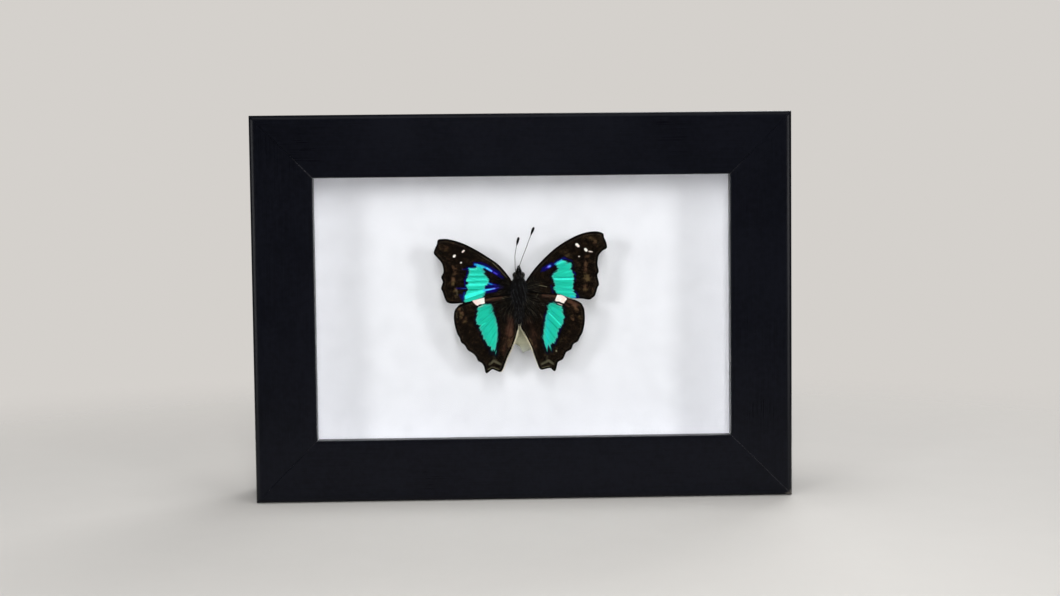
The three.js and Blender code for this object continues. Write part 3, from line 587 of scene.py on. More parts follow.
class Surface:
    """Vertices, faces, and values for each vertex, gathered from several grids into one mesh."""

    def __init__(self):
        self.points, self.faces, self.fields, self.kinds, self.count = [], [], {}, [], 0

    def add(self, points, faces, kind=0, **fields):
        """Adds vertices (N by 3, millimetres) with faces of one size that use them, and named values."""
        points = np.asarray(points, float).reshape(-1, 3)
        faces = np.asarray(faces, int)
        self.points.append(points)
        self.faces.append(faces + self.count)
        self.kinds.append(np.full(len(faces), kind))
        for name in {**self.fields, **fields}:
            stored = self.fields.setdefault(name, [np.zeros(self.count)] if self.count else [])
            stored.append(np.broadcast_to(np.ravel(fields.get(name, 0.0)), len(points)).astype(float))
        self.count += len(points)

    def grid(self, points, wrap=False, flip=False, kind=0, **fields):
        """Adds a grid of points (rows by columns by 3), whose rows go round where wrap says so."""
        rows, cols = points.shape[:2]
        index = np.arange(rows * cols).reshape(rows, cols)
        if wrap:
            index = np.concatenate([index, index[:, :1]], 1)
        quads = np.stack([index[:-1, :-1], index[:-1, 1:], index[1:, 1:], index[1:, :-1]], -1)
        quads = quads.reshape(-1, 4)
        flat = {key: np.broadcast_to(value, (rows, cols)).ravel() for key, value in fields.items()}
        self.add(points, quads[:, ::-1] if flip else quads, kind, **flat)

    def shell(self, points, flip=True, kind=0, **fields):
        """Adds a grid whose rows go round, and closes its first and its last row, each by a fan from the
        row's middle."""
        self.grid(points, True, flip, kind, **fields)
        rows, cols = points.shape[:2]
        ring = np.arange(cols)
        fan = np.stack([np.full(cols, cols), ring, np.roll(ring, -1)], 1)
        for row, turn in ((0, flip), (rows - 1, not flip)):
            hub = np.vstack([points[row], points[row].mean(0)])
            values = {}
            for key, value in fields.items():
                rim = np.broadcast_to(value, (rows, cols))[row]
                values[key] = np.append(rim, rim.mean())
            self.add(hub, fan if turn else fan[:, ::-1], kind, **values)

    def hairs(self, rng, roots, ways, lengths, radius, droop, spread=0.25, kind=1, power=1, streak=1.0):
        """Adds three-sided hairs in three tapering pieces that bend: each point is the root plus t along
        its way plus t squared along droop, t running from 0 to 1 of its length. A hair's tint is a random
        share raised to power, times streak."""
        count = len(roots)
        ways = unit(ways + spread * rng.normal(size=ways.shape))
        t = np.array([0.0, 0.4, 0.75, 1.0])
        thick = radius * np.array([1.0, 0.8, 0.5, 0.06])
        bend = np.array(droop)[None, :] + 0.2 * rng.normal(size=(count, 3))
        reach = t[None, :, None] * ways[:, None] + (t**2)[None, :, None] * bend[:, None]
        spine = roots[:, None] + lengths[:, None, None] * reach
        side = unit(np.cross(ways, [0.3, 1.0, 0.2]))
        up = np.cross(ways, side)
        angle = angles_round(3)
        ring = np.cos(angle)[None, :, None] * side[:, None] + np.sin(angle)[None, :, None] * up[:, None]
        points = spine[:, :, None] + thick[None, :, None, None] * ring[:, None]
        index = np.arange(12).reshape(4, 3)
        after = np.roll(index, -1, 1)
        quads = np.stack([index[:-1], after[:-1], after[1:], index[1:]], -1).reshape(-1, 4)
        faces = (np.arange(count)[:, None, None] * 12 + quads[None]).reshape(-1, 4)
        tint = rng.uniform(0, 1, count) ** power * streak
        self.add(points, faces, kind, tint=np.repeat(tint, 12))

    def build(self, name, materials, weld, uv=None, sharp=None):
        """Makes the mesh object, in metres, with its values as attributes and a UV map from two of them.
        Vertices nearer than weld, in millimetres, are joined, and edges past sharp degrees stay crisp."""
        points = np.vstack(self.points) * MM
        mesh = bpy.data.meshes.new(name)
        sizes = np.concatenate([np.full(len(f), f.shape[1]) for f in self.faces])
        loops = np.concatenate([f.ravel() for f in self.faces])
        mesh.vertices.add(len(points))
        mesh.vertices.foreach_set("co", points.astype(np.float32).ravel())
        mesh.loops.add(len(loops))
        mesh.loops.foreach_set("vertex_index", loops.astype(np.int32))
        mesh.polygons.add(len(sizes))
        mesh.polygons.foreach_set("loop_start", (np.cumsum(sizes) - sizes).astype(np.int32))
        mesh.polygons.foreach_set("loop_total", sizes.astype(np.int32))
        mesh.polygons.foreach_set("material_index", np.concatenate(self.kinds).astype(np.int32))
        mesh.update(calc_edges=True)
        values = {key: np.concatenate(value) for key, value in self.fields.items()}
        if uv:
            layer = mesh.uv_layers.new(name="grain")
            pairs = np.stack([values.pop(uv[0])[loops], values.pop(uv[1])[loops]], 1)
            layer.data.foreach_set("uv", pairs.astype(np.float32).ravel())
        for key, value in values.items():
            mesh.attributes.new(key, "FLOAT", "POINT").data.foreach_set("value", value.astype(np.float32))
        work = bmesh.new()
        work.from_mesh(mesh)
        bmesh.ops.remove_doubles(work, verts=work.verts, dist=weld * MM)
        bmesh.ops.recalc_face_normals(work, faces=work.faces)
        work.to_mesh(mesh)
        work.free()
        mesh.polygons.foreach_set("use_smooth", np.full(len(mesh.polygons), True))
        if sharp is not None:
            mesh.set_sharp_from_angle(angle=math.radians(sharp))
        mesh.validate()
        for material in materials:
            mesh.materials.append(material)
        made = bpy.data.objects.new(name, mesh)
        bpy.context.scene.collection.objects.link(made)
        return made


def tube(path, radii, sides, widen=1.0):
    """Rings of a tube along a path: at each point the radius times cosine and sine of the angle round, on
    the two directions square to the path, the second of them times widen."""
    way = unit(np.gradient(path, axis=0))
    side = unit(np.cross(way, [0.0, 1.0, 0.001]))
    up = np.cross(side, way)
    angle = angles_round(sides)
    ring = np.cos(angle)[None, :, None] * side[:, None] + widen * np.sin(angle)[None, :, None] * up[:, None]
    return path[:, None] + radii[:, None, None] * ring


# ------------------------------------------------------------------------------------------------ materials


def colour(red, green, blue):
    """A screen colour (0 to 255) as light, with alpha."""
    screen = np.array([red, green, blue]) / 255
    light = np.where(screen <= 0.04045, screen / 12.92, ((screen + 0.055) / 1.055) ** 2.4)
    return (*light.tolist(), 1.0)


def opaque(tone, share=1.0):
    """The red, green and blue of a colour times share, with alpha 1."""
    return (*(min(1.0, share * part) for part in tone[:3]), 1.0)


class Wire:
    """An output socket, so that shader maths reads as Python: an expression adds its Math nodes."""

    def __init__(self, recipe, socket):
        self.recipe, self.socket = recipe, socket

    def maths(self, operation, first, second):
        return self.recipe.node("ShaderNodeMath", {"operation": operation}, Value=first, Value_001=second)

    def __add__(self, other):
        return self.maths("ADD", self, other)

    def __sub__(self, other):
        return self.maths("SUBTRACT", self, other)

    def __rsub__(self, other):
        return self.maths("SUBTRACT", other, self)

    def __mul__(self, other):
        return self.maths("MULTIPLY", self, other)

    __radd__ = __add__
    __rmul__ = __mul__


class Recipe:
    """The node tree of a new material, or of the owner given."""

    def __init__(self, name, owner=None):
        self.material = owner or bpy.data.materials.new(name)
        self.material.use_nodes = True
        self.tree = self.material.node_tree
        self.tree.nodes.clear()

    def node(self, kind, settings=None, out=0, **sockets):
        """Adds a node: its settings first, such as a Math node's operation, then its sockets by identifier
        or name."""
        made = self.tree.nodes.new(kind)
        for key, value in (settings or {}).items():
            setattr(made, key, value)
        for key, value in sockets.items():
            socket = next(s for s in made.inputs if key in (s.identifier, s.name.replace(" ", "_")))
            if isinstance(value, Wire):
                self.tree.links.new(value.socket, socket)
            else:
                socket.default_value = value
        return Wire(self, made.outputs[out]) if made.outputs else made

    def mix(self, low, high, share):
        """low where share is 0 and high where it is 1, as colours."""
        settings = {"data_type": "RGBA", "clamp_factor": True}
        return self.node("ShaderNodeMix", settings, 2, Factor_Float=share, A_Color=low, B_Color=high)

    def step(self, value, low, high):
        """0 below low, 1 above high, a smooth S between."""
        settings = {"interpolation_type": "SMOOTHSTEP"}
        return self.node("ShaderNodeMapRange", settings, Value=value, From_Min=low, From_Max=high)

    def field(self, name):
        return self.node("ShaderNodeAttribute", {"attribute_name": name}, "Fac")

    def place(self, scale=(1, 1, 1), uv=False):
        """Object coordinates, or the piece's own UV map, times scale."""
        if uv:
            source = self.node("ShaderNodeUVMap", {"uv_map": "grain"})
        else:
            source = self.node("ShaderNodeTexCoord", None, "Object")
        return self.node("ShaderNodeMapping", None, Vector=source, Scale=scale)

    def noise(self, where, scale, detail, roughness=0.5, distortion=0.0):
        grain = {"Scale": scale, "Detail": detail, "Roughness": roughness, "Distortion": distortion}
        return self.node("ShaderNodeTexNoise", None, "Fac", Vector=where, **grain)

    def bump(self, height, distance, strength):
        return self.node("ShaderNodeBump", None, Height=height, Distance=distance, Strength=strength)

    def finish(self, **sockets):
        """The Principled shader with these sockets, as the surface."""
        self.surface(self.node("ShaderNodeBsdfPrincipled", None, **sockets))
        return self.material

    def surface(self, shader):
        self.node("ShaderNodeOutputMaterial", None, Surface=shader)


def lacquer(tone):
    """Satin blue-black lacquer over wood: faint long grain, orange peel, dust, pale rubbed corners, and a
    pale line of painted reflection down each mitre.
    """
    m = Recipe("satin_black_lacquer")
    along = m.place((0.02, 1.0, 1.0), uv=True)
    grain = m.noise(along, 2.6, 3.0, 0.6)
    peel = m.noise(m.place(), 900.0, 2.0)
    cloud = m.noise(m.place(), 45.0, 3.0)
    satin = m.noise(m.place(), 620.0, 3.0, 0.6)
    flecks = m.noise(m.place(), 1500.0, 4.0, 0.75)
    worn = m.step(m.field("rub") + (flecks - 0.5) * 1.1 + (cloud - 0.5) * 0.7, 0.72, 0.86)
    seam = m.field("seam")
    dust = m.step(m.noise(m.place(), 2600.0, 1.0), 0.77, 0.83) * 0.25
    dark = opaque(tone, 0.6)
    base = m.mix(dark, tone, m.step(grain * 0.35 + cloud * 0.25 + satin * 0.4, 0.38, 0.6))
    base = m.mix(base, colour(74, 72, 72), dust)
    base = m.mix(base, colour(112, 106, 100), worn * 0.55)
    # Painted reflection: a pale line down each mitre
    base = m.mix(base, colour(104, 102, 106), seam * m.step(flecks, 0.38, 0.6))
    return m.finish(
        Base_Color=base,
        Roughness=0.3 + (cloud - 0.5) * 0.1 + (grain - 0.5) * 0.08 + worn * 0.25,
        IOR=1.2,
        Normal=m.bump(grain * 0.7 + peel * 0.3, 0.00006, 0.5),
    )


def clear_glass():
    """A clean pane: light passes, but for a mirrored share that grows by the fifth power of the slant."""
    m = Recipe("float_glass")
    slant = m.node("ShaderNodeLayerWeight", None, "Facing", Blend=0.5)
    share = slant.maths("POWER", slant, 5.0) * 0.9 + 0.008
    clear = m.node("ShaderNodeBsdfTransparent", None, Color=(0.99, 0.996, 0.994, 1.0))
    gloss = m.node("ShaderNodeBsdfGlossy", None, Color=(1, 1, 1, 1), Roughness=0.02)
    m.surface(m.node("ShaderNodeMixShader", None, Fac=share, Shader=clear, Shader_001=gloss))
    return m.material


def white_card(name, tone, fibre):
    """Smooth matt card: faint fibres and a soft mottle."""
    m = Recipe(name)
    fine = m.noise(m.place(), 2200.0, 4.0, 0.65)
    mottle = m.noise(m.place(), 120.0, 3.0)
    strand = m.noise(m.place((1.0, 1.0, 0.25)), 1400.0, 3.0, 0.5, 1.5)
    base = m.mix(opaque(tone, 0.93), tone, m.step(fine * 0.5 + mottle * 0.5, 0.3, 0.62))
    return m.finish(
        Base_Color=base,
        Roughness=0.88 + (fine - 0.5) * 0.1,
        Normal=m.bump(fine * 0.6 + strand * 0.4, fibre, 0.6),
    )


def fibreboard(tone):
    """Pressed brown fibreboard: tangled fibres over a slow cloud, with a few dark chips."""
    m = Recipe("pressed_fibreboard")
    fibre = m.noise(m.place((1.0, 1.0, 0.35)), 900.0, 5.0, 0.65, 2.0)
    cross = m.noise(m.place((0.3, 1.0, 1.0)), 760.0, 4.0, 0.6, 1.5)
    cloud = m.noise(m.place(), 30.0, 3.0)
    chips = m.step(m.noise(m.place(), 420.0, 2.0), 0.66, 0.74)
    tangle = m.step(fibre * 0.45 + cross * 0.35 + cloud * 0.2, 0.36, 0.64)
    base = m.mix(opaque(tone, 0.5), opaque(tone, 1.5), tangle)
    base = m.mix(base, colour(66, 42, 26), chips * 0.5)
    return m.finish(
        Base_Color=base,
        Roughness=0.82 + (fibre - 0.5) * 0.2,
        Normal=m.bump(fibre * 0.6 + cross * 0.4, 0.00025, 0.7),
    )


def zinc(name, tone, rough):
    """Zinc-plated steel: drawn lines and dull blotches."""
    m = Recipe(name)
    drawn = m.noise(m.place((0.05, 1.0, 1.0)), 3000.0, 3.0, 0.6)
    blotch = m.noise(m.place(), 380.0, 4.0, 0.6)
    base = m.mix(opaque(tone, 0.55), tone, m.step(blotch * 0.6 + drawn * 0.4, 0.34, 0.6))
    return m.finish(
        Base_Color=base,
        Metallic=0.95 - m.step(blotch, 0.62, 0.75) * 0.3,
        Roughness=rough + (blotch - 0.5) * 0.3 + (drawn - 0.5) * 0.12,
        Normal=m.bump(drawn, 0.00003, 0.5),
    )


def wing_scales(look):
    """Rows of scales on a wing. The fields say where each marking lies; noise along the rays from the
    wing's root frays their edges, and finer noise gives the scales."""
    m = Recipe("wing_scales")
    band, white, rim, vein = (m.field(name) for name in ("band", "white", "rim", "vein"))
    side, dusk = m.field("side"), m.field("dusk")
    painted_band_light, blue, brown, olive_and_edge_highlight, red, cream = (m.field(name) for name in FIELDS)
    fray = m.noise(m.place((0.30, 1.15, 1.0), uv=True), 1.0, 3.0, 0.6)
    rays = m.noise(m.place((0.16, 3.4, 1.0), uv=True), 1.0, 3.0, 0.6)
    rows = m.noise(m.place((3.2, 7.5, 1.0), uv=True), 1.0, 2.0, 0.7)
    cloud = m.noise(m.place(), 420.0, 3.0, 0.6)
    grain = m.noise(m.place(), 5200.0, 2.0, 0.6)
    mottle = m.noise(m.place(), 1150.0, 3.0, 0.7)
    on_vein = 1.0 - m.step(vein, 0.03, 0.16)

    # The brown ground with its tan, olive and red patches, an olive painted highlight along one hindwing's
    # front edge, its dark veins and base, and its rim
    dapple = m.step(cloud * 0.3 + rays * 0.25 + mottle * 0.55, 0.5, 0.72)
    ground = m.mix(opaque(look.ground), colour(38, 27, 17), dapple)
    patch = m.step(brown + (mottle - 0.5) * 2.4 + (cloud - 0.5) * 0.9, 0.2, 1.6)
    patch = patch * (0.35 + m.step(vein, 0.1, 0.75) * 0.65)
    tan = m.mix(colour(98, 70, 52), colour(88, 72, 46), m.step(cloud, 0.4, 0.62))
    ground = m.mix(ground, tan, patch * 0.85)
    olive_and_highlight_share = m.step(olive_and_edge_highlight + (rays - 0.5) * 0.5 + (cloud - 0.5) * 0.3, 0.3, 1.5)
    ground = m.mix(ground, colour(128, 122, 98), olive_and_highlight_share)
    red_share = m.step(red + (cloud - 0.5) * 1.2 + (rays - 0.5) * 0.8, 0.2, 1.6)
    ground = m.mix(ground, colour(84, 55, 43), red_share)
    ground = m.mix(ground, colour(12, 8, 7), on_vein * 0.6)
    ground = m.mix(ground, colour(7, 6, 5), dusk * 0.85)
    line = m.step(rim, 0.75, 0.95) * (1.0 - m.step(rim, 0.98, 1.25)) * m.step(fray, 0.38, 0.56)
    ground = m.mix(ground, colour(62, 54, 44), line * 0.5)
    ground = m.mix(ground, colour(5, 4, 4), 1.0 - m.step(rim, 0.4, 0.8))
    ground = m.mix(ground, colour(232, 222, 198), m.step(cream, 0.32, 0.75))

    # Blue and violet streaks, with a dark seam next to the band
    edge = band + (fray - 0.5) * 1.7 + (rays - 0.5) * 1.3
    near = m.step(edge, -1.1, 0.0) * m.step(rim, 0.1, 0.5)
    ground = m.mix(ground, colour(4, 12, 26), near * 0.92)
    gloom = blue + (rays - 0.5) * 0.35
    beside = m.step(band, -2.4, -0.7)
    ground = m.mix(ground, colour(10, 6, 86), m.step(gloom, 0.15, 0.5))
    deep = m.mix(opaque(look.violet), colour(30, 130, 214), beside)
    ground = m.mix(ground, deep, m.step(gloom, 0.6, 1.1))
    core = m.mix(colour(108, 158, 244), colour(124, 120, 244), m.field("violet"))
    ground = m.mix(ground, m.mix(core, colour(84, 216, 255), beside), m.step(gloom, 1.15, 1.75))

    # The turquoise band: its own streaky colour, with lighter and darker streaks of painted highlight and
    # painted shade
    shine = painted_band_light * 0.75 + (rays - 0.5) * 2.1 + (rows - 0.5) * 1.1 + (fray - 0.5) * 0.5
    teal = m.mix(colour(4, 140, 116), opaque(look.band), m.step(shine, -1.0, 0.1))
    teal = m.mix(teal, colour(62, 255, 232), m.step(shine, 0.15, 1.2))
    teal = m.mix(teal, colour(30, 190, 255), m.step(gloom, 0.25, 1.1) * 0.75)
    teal = m.mix(teal, colour(2, 104, 90), on_vein * 0.4)
    teal = m.mix(teal, colour(36, 168, 184), m.step(cloud * 0.4 + fray * 0.6, 0.5, 0.7) * 0.45)
    teal = m.mix(teal, colour(92, 172, 160), (1.0 - m.step(edge, 0.1, 0.75)) * 0.5)
    inside = m.step(edge, -0.03, 0.24)
    tone = m.mix(ground, teal, inside)

    # White marks, the gaps between scales, and the underside, darkened as painted shade and greyed as
    # painted shadow where the folds show it
    fleck = white + (cloud - 0.5) * 0.5 + (grain - 0.5) * 0.2
    pearl = m.mix(colour(250, 222, 214), colour(248, 244, 236), m.step(cloud, 0.35, 0.6))
    tone = m.mix(tone, pearl, m.step(fleck, -0.04, 0.2))
    tone = m.mix(tone, m.mix(tone, colour(0, 0, 0), 0.55), m.step(rows * 0.6 + grain * 0.5, 0.58, 0.9))
    bloom = m.step(cloud * 0.5 + rays * 0.5, 0.35, 0.65)
    # Painted shade: the underside's own beige is darkened, as it shows only on the folds deep between the
    # hindwings, and greyed towards their lower ends as painted shadow
    under = m.mix(colour(146, 143, 120), colour(170, 168, 146), bloom)
    under = m.mix(under, colour(158, 160, 152), m.field("pale"))
    tone = m.mix(under, tone, side)
    return m.finish(
        Base_Color=tone,
        Roughness=0.62 - inside * 0.14 + (rows - 0.5) * 0.2,
        Specular_IOR_Level=0.03,
        Normal=m.bump(rows * 0.6 + grain * 0.4, 0.00005, 0.6),
    )


def hair_material(name, low, high, rough=0.55):
    """Fine hairs between two colours, hair by hair."""
    m = Recipe(name)
    tone = m.mix(low, high, m.field("tint"))
    return m.finish(Base_Color=tone, Roughness=rough + m.field("tint") * 0.1, Specular_IOR_Level=0.06)


def body_material(tone):
    """Black scales on the thorax and abdomen, with paler rings between the abdomen's segments."""
    m = Recipe("body_scales")
    fine = m.noise(m.place((1.0, 1.0, 0.4)), 3800.0, 4.0, 0.65)
    cloud = m.noise(m.place(), 500.0, 3.0)
    base = m.mix(tone, colour(15, 12, 10), m.step(fine * 0.6 + cloud * 0.4, 0.45, 0.75))
    base = m.mix(base, colour(44, 35, 28), m.field("ring") * 0.7)
    return m.finish(
        Base_Color=base,
        Specular_IOR_Level=0.1,
        Roughness=0.58 + (fine - 0.5) * 0.3,
        Normal=m.bump(fine, 0.0001, 0.8),
    )


def eye_material():
    """Dark brown compound eye: small facets under a wet gloss."""
    m = Recipe("compound_eye")
    edges = {"feature": "DISTANCE_TO_EDGE"}
    facet = m.node("ShaderNodeTexVoronoi", edges, "Distance", Vector=m.place(), Scale=9000.0)
    cloud = m.noise(m.place(), 900.0, 2.0)
    base = m.mix(colour(8, 7, 6), colour(40, 34, 24), m.step(cloud, 0.4, 0.7))
    return m.finish(
        Base_Color=base,
        Specular_IOR_Level=0.5,
        Roughness=0.2 + cloud * 0.1,
        Normal=m.bump(facet, 0.00004, 0.6),
    )


def antenna_material():
    """Dark stalk ringed with pale scales at each joint, black club."""
    m = Recipe("antenna_rings")
    fine = m.noise(m.place(), 6000.0, 3.0)
    ringed = m.mix(colour(24, 21, 20), colour(112, 108, 104), m.field("ring"))
    base = m.mix(ringed, colour(3, 3, 3), m.field("club"))
    return m.finish(
        Base_Color=base,
        Specular_IOR_Level=0.12,
        Roughness=0.5 + (fine - 0.5) * 0.2,
        Normal=m.bump(fine, 0.00003, 0.5),
    )


def pale_floor(tone, near, far):
    """Plain matt floor that fades into the backdrop from near to far, in metres from its middle."""
    m = Recipe("pale_floor")
    where = m.node("ShaderNodeTexCoord", None, "Object")
    away = m.node("ShaderNodeVectorMath", {"operation": "LENGTH"}, "Value", Vector=where)
    speck = m.noise(m.place(), 60.0, 2.0)
    base = m.mix(tone, opaque(tone, 0.97), speck)
    return m.finish(Base_Color=base, Roughness=0.8, Alpha=1.0 - m.step(away, near, far))


# --------------------------------------------------------------------------------------------- frame pieces


def rounded_section():
    """The moulding's section: each corner's arc is its centre, which lies on the inner bisector, plus the
    radius times the way from there, swept between the two sides' own directions. Long sides are cut into
    short ones."""
    corner = np.array(SECTION)[:, :2]
    radius = np.array(SECTION)[:, 2]
    before = unit(np.roll(corner, 1, 0) - corner)
    after = unit(np.roll(corner, -1, 0) - corner)
    centre = corner + radius[:, None] * (before + after)
    angle = np.linspace(0, np.pi / 2, ARC_STEPS + 1)
    arc = -np.cos(angle)[None, :, None] * after[:, None] - np.sin(angle)[None, :, None] * before[:, None]
    ring = (centre[:, None] + radius[:, None, None] * arc).reshape(-1, 2)
    way = np.roll(ring, -1, 0) - ring
    cuts = np.ceil(np.linalg.norm(way, axis=1) / LONGEST_SIDE).astype(int)
    start = np.repeat(np.arange(len(ring)), cuts)
    share = (np.arange(len(start)) - np.repeat(np.cumsum(cuts) - cuts, cuts)) / cuts[start]
    return ring[start] + share[:, None] * way[start]


def build_rail(name, length, span, turn, material):
    """The section carried from mitre to mitre: across and back come from the section, and along is the
    station times half of the length left at that distance across. The last ring at each end is drawn in a
    little, so that two rails meet in a fine V."""
    section = rounded_section()
    across, back = section.T
    way = np.roll(section, -1, 0) - np.roll(section, 1, 0)
    inward = unit(np.stack([-way[:, 1], way[:, 0]], 1))
    half = length / 2 - across - MITRE_GAP / 2
    stations = np.linspace(-1, 1, RAIL_STATIONS)
    brim = (half - MITRE_GROOVE)[None]
    along = np.concatenate([-half[None], -brim, (brim - 0.2) * stations[:, None], brim, half[None]])
    shrink = np.zeros(len(along))
    shrink[[0, -1]] = MITRE_GROOVE * 0.6
    a = across[None] + shrink[:, None] * inward[None, :, 0]
    b = back[None] + shrink[:, None] * inward[None, :, 1]
    x, y, z = along, FRONT + b, a - span / 2
    for _ in range(turn):
        x, z = -z, x
    points = np.stack([x, y, z + MIDDLE], -1)
    edge = lengths_along(section)
    to_corner = half[None] - np.abs(along) + a
    arris = np.exp(-((a / ARRIS) ** 2)) * np.exp(-((b / ARRIS) ** 2))
    seam = np.zeros(along.shape)
    rub = arris * 0.16
    inner = SECTION[1][0] - a
    for rows, corner, sign in (([0, 1], turn, -1), ([-2, -1], (turn + 1) % 4, 1)):
        reach, strength, scuff = MITRE_GLINT_AND_WEAR[corner]
        # A pale line of painted reflection at the mitre; the scuff at the outer corner is wear
        seam[rows] = strength * np.clip((reach - inner[rows]) / 3, 0, 1) * (b[rows] < 0.4)
        rub += arris * scuff * np.exp(-((to_corner / SCUFF) ** 2)) * (np.sign(along) == sign)
    surface = Surface()
    surface.grid(points, wrap=True, u=along, v=edge, rub=rub, seam=seam)
    for row, order in ((0, slice(None)), (-1, slice(None, None, -1))):
        ring = points[row]
        surface.add(ring, np.arange(len(ring))[None, order], rub=0.0)
    return surface.build(name, [material], weld=0.001, uv=("u", "v"), sharp=40)


def build_wing(name, wing, front, look, materials):
    """A fan from the wing's root: the point at share u and margin place v is the root plus u times the way
    to the margin. It comes forward outwards, at its veins and along the slow wave, and sinks between the
    veins; the back is the same sheet one thickness behind, and the two are joined round their edge."""
    around, out = WING_GRID
    margin = even_line(wing["margin"], around)
    root = np.array(wing["root"])
    share = HUB + (1 - HUB) * np.linspace(0, 1, out) ** 0.92
    flat = root + share[None, :, None] * (margin[:, None] - root)
    x, z = flat[..., 0], flat[..., 1]
    points = flat.reshape(-1, 2)
    vein = line_distance(points, wing["veins"]).reshape(x.shape)
    rim = segment_distance(points, margin[:-1], margin[1:]).min(1).reshape(x.shape)
    ridge = look.ridge / MM * np.exp(-((vein / VEIN_WIDTH) ** 2))
    sunk = look.billow / MM * (1 - np.exp(-((vein / BILLOW_WIDTH) ** 2)))
    flute = 0.035 * np.sin(np.arange(around)[:, None] * 0.9) * share[None] ** 3
    lean = 0.028 * np.abs(x) + 0.0006 * x**2
    y = front - ridge + sunk - lean - slow_wave(x, z) + flute
    thick = SHEET * (0.45 + 0.55 * np.clip(rim / THIN_RIM, 0, 1)) + ridge * 0.9
    away = np.linalg.norm(flat - root, axis=2)
    bow = np.broadcast_to(np.linspace(0, lengths_along(margin)[-1], around)[:, None], x.shape)
    white = np.full(len(points), -9.0)
    for mark in wing["white"]:
        if isinstance(mark, list):
            mine = inside_distance(points, smooth_line(mark + mark[:1], 4)[:-1])
        else:
            bar = np.array([mark])
            mine = mark[4] - segment_distance(points, bar[:, 0:2], bar[:, 2:4])[:, 0]
        white = np.maximum(white, mine)
    fields = {"vein": vein, "rim": rim, "u": away, "v": bow, "white": white.reshape(x.shape)}
    fields["band"] = inside_distance(points, wing["band"]).reshape(x.shape)
    for key in FIELDS:
        fields[key] = stroke_field(points, wing[key]).reshape(x.shape) if key in wing else 0.0
    # A wing's number added here brightens its whole band as painted highlight above zero, and dims it as
    # painted shade below
    fields["painted_band_light"] = fields["painted_band_light"] + wing["painted_band_lift"]
    fields["violet"] = wing.get("violet", 0.0)
    fields["dusk"] = np.exp(-((x / 4.6) ** 2)) * np.clip((z + 12) / 5, 0, 1)

    def place(depth):
        return THORAX + np.stack([x, depth, z], -1)

    flip = margin[-1, 0] > 0
    sheet = Surface()
    sheet.grid(place(y), flip=not flip, side=1.0, **fields)
    sheet.grid(place(y + thick), flip=flip, side=0.0, **fields)
    every, backwards = slice(None), slice(None, None, -1)
    for row, col in ((every, 0), (-1, every), (backwards, -1), (0, backwards)):
        pair = np.stack([place(y)[row, col], place(y + thick)[row, col]])
        edge = {key: np.broadcast_to(value, x.shape)[row, col][None] for key, value in fields.items()}
        sheet.grid(pair, flip=flip, side=1.0, **edge)
    if "fold" in wing:
        add_fold(sheet, wing, front)
    add_wing_hairs(sheet, name, wing, front)
    return sheet.build(name, materials, weld=0.002, uv=("u", "v"), sharp=60)


def add_fold(sheet, wing, front):
    """The inner edge of a hindwing, turned back behind it: from each place on the margin a quarter of an
    ellipse goes back by its depth, in by the reach and down by the drop at that height, and comes forward
    again one thickness behind. Towards its lower end it is greyed as painted shadow, like the shaded card
    behind it."""
    heights, reaches, drops = np.array(wing["fold"][::-1]).T
    edge = even_line(wing["margin"][-10:], 400)
    edge = edge[(edge[:, 1] < heights.max()) & (edge[:, 1] > heights.min())]
    edge = edge[np.argsort(edge[:, 1])]
    inward = -np.sign(wing["root"][0])
    reach = np.interp(edge[:, 1], heights, reaches)[:, None]
    drop = np.interp(edge[:, 1], heights, drops)[:, None]
    turn = np.linspace(0, np.pi / 2, 16)[None]
    x = edge[:, :1] + inward * (reach * (1 - np.cos(turn)) - 0.25)
    depth = FOLD_DEPTH * np.sin(turn) * np.clip(reach / 1.5, 0.3, 1)
    y = front - LEAN * np.abs(edge[:, :1]) + 0.1 + depth + 0.15 * np.sin(1.3 * edge[:, 1:])
    z = edge[:, 1:] - drop * (1 - np.cos(turn))
    # Painted shadow: the fold greys towards its lower end, like the shaded card behind it
    pale = np.clip((-18.5 - z) / 3.5, 0, 1)
    inner = np.stack([x, y, z], -1)
    outer = np.stack([x - inward * FOLD_SKIN, y + FOLD_SKIN, z], -1)
    rings = THORAX + np.concatenate([inner, outer[:, ::-1]], 1)
    sheet.shell(rings, flip=inward > 0, pale=np.concatenate([pale, pale[:, ::-1]], 1), rim=1.0)


def add_wing_hairs(sheet, name, wing, front):
    """Long soft hairs over the wing's base, lying outwards from the root, and a hindwing's pale fringe."""
    root = np.array(wing["root"])
    hind = name.startswith("hind")
    side = np.sign(root[0])
    rng = np.random.default_rng(20 + 2 * hind + int(side > 0))
    count = HINDWING_HAIRS if hind else FOREWING_HAIRS
    near = 0.8  # the hairs start this far from the root
    low, high, far = (-1.62, 0.0, 9.0) if hind else (-0.6, 0.8, 5.0)
    angle = rng.uniform(low, high, count)
    away = near + (far - near) * rng.uniform(0, 1, count) ** 1.3
    direction = np.stack([side * np.cos(angle), np.zeros(count), np.sin(angle)], 1)
    roots = hair_root(root[0] + direction[:, 0] * away, root[1] + direction[:, 2] * away, front, 0.02)
    ways = direction + np.array([0, -0.16, 0])
    lengths = rng.uniform(1.2, 3.2, count)
    sheet.hairs(rng, roots, ways, lengths, LONG_HAIR, droop=(0, 0.1, -0.1), spread=0.14, power=11)
    if not hind:
        return
    inner = even_line(wing["margin"][-8:], 420)
    at = inner[rng.integers(0, 419, FRINGE_HAIRS)]
    roots = hair_root(at[:, 0], at[:, 1], front, rng.uniform(0, SHEET, FRINGE_HAIRS))
    roots = roots + [side * 0.12, 0, 0]
    ways = np.array([-side * 0.9, -0.05, -0.75]) + np.zeros((FRINGE_HAIRS, 3))
    lengths = rng.uniform(0.25, 0.6, FRINGE_HAIRS)
    sheet.hairs(rng, roots, ways, lengths, FRINGE_HAIR, droop=(0, 0.05, -0.15), spread=0.22, kind=2)


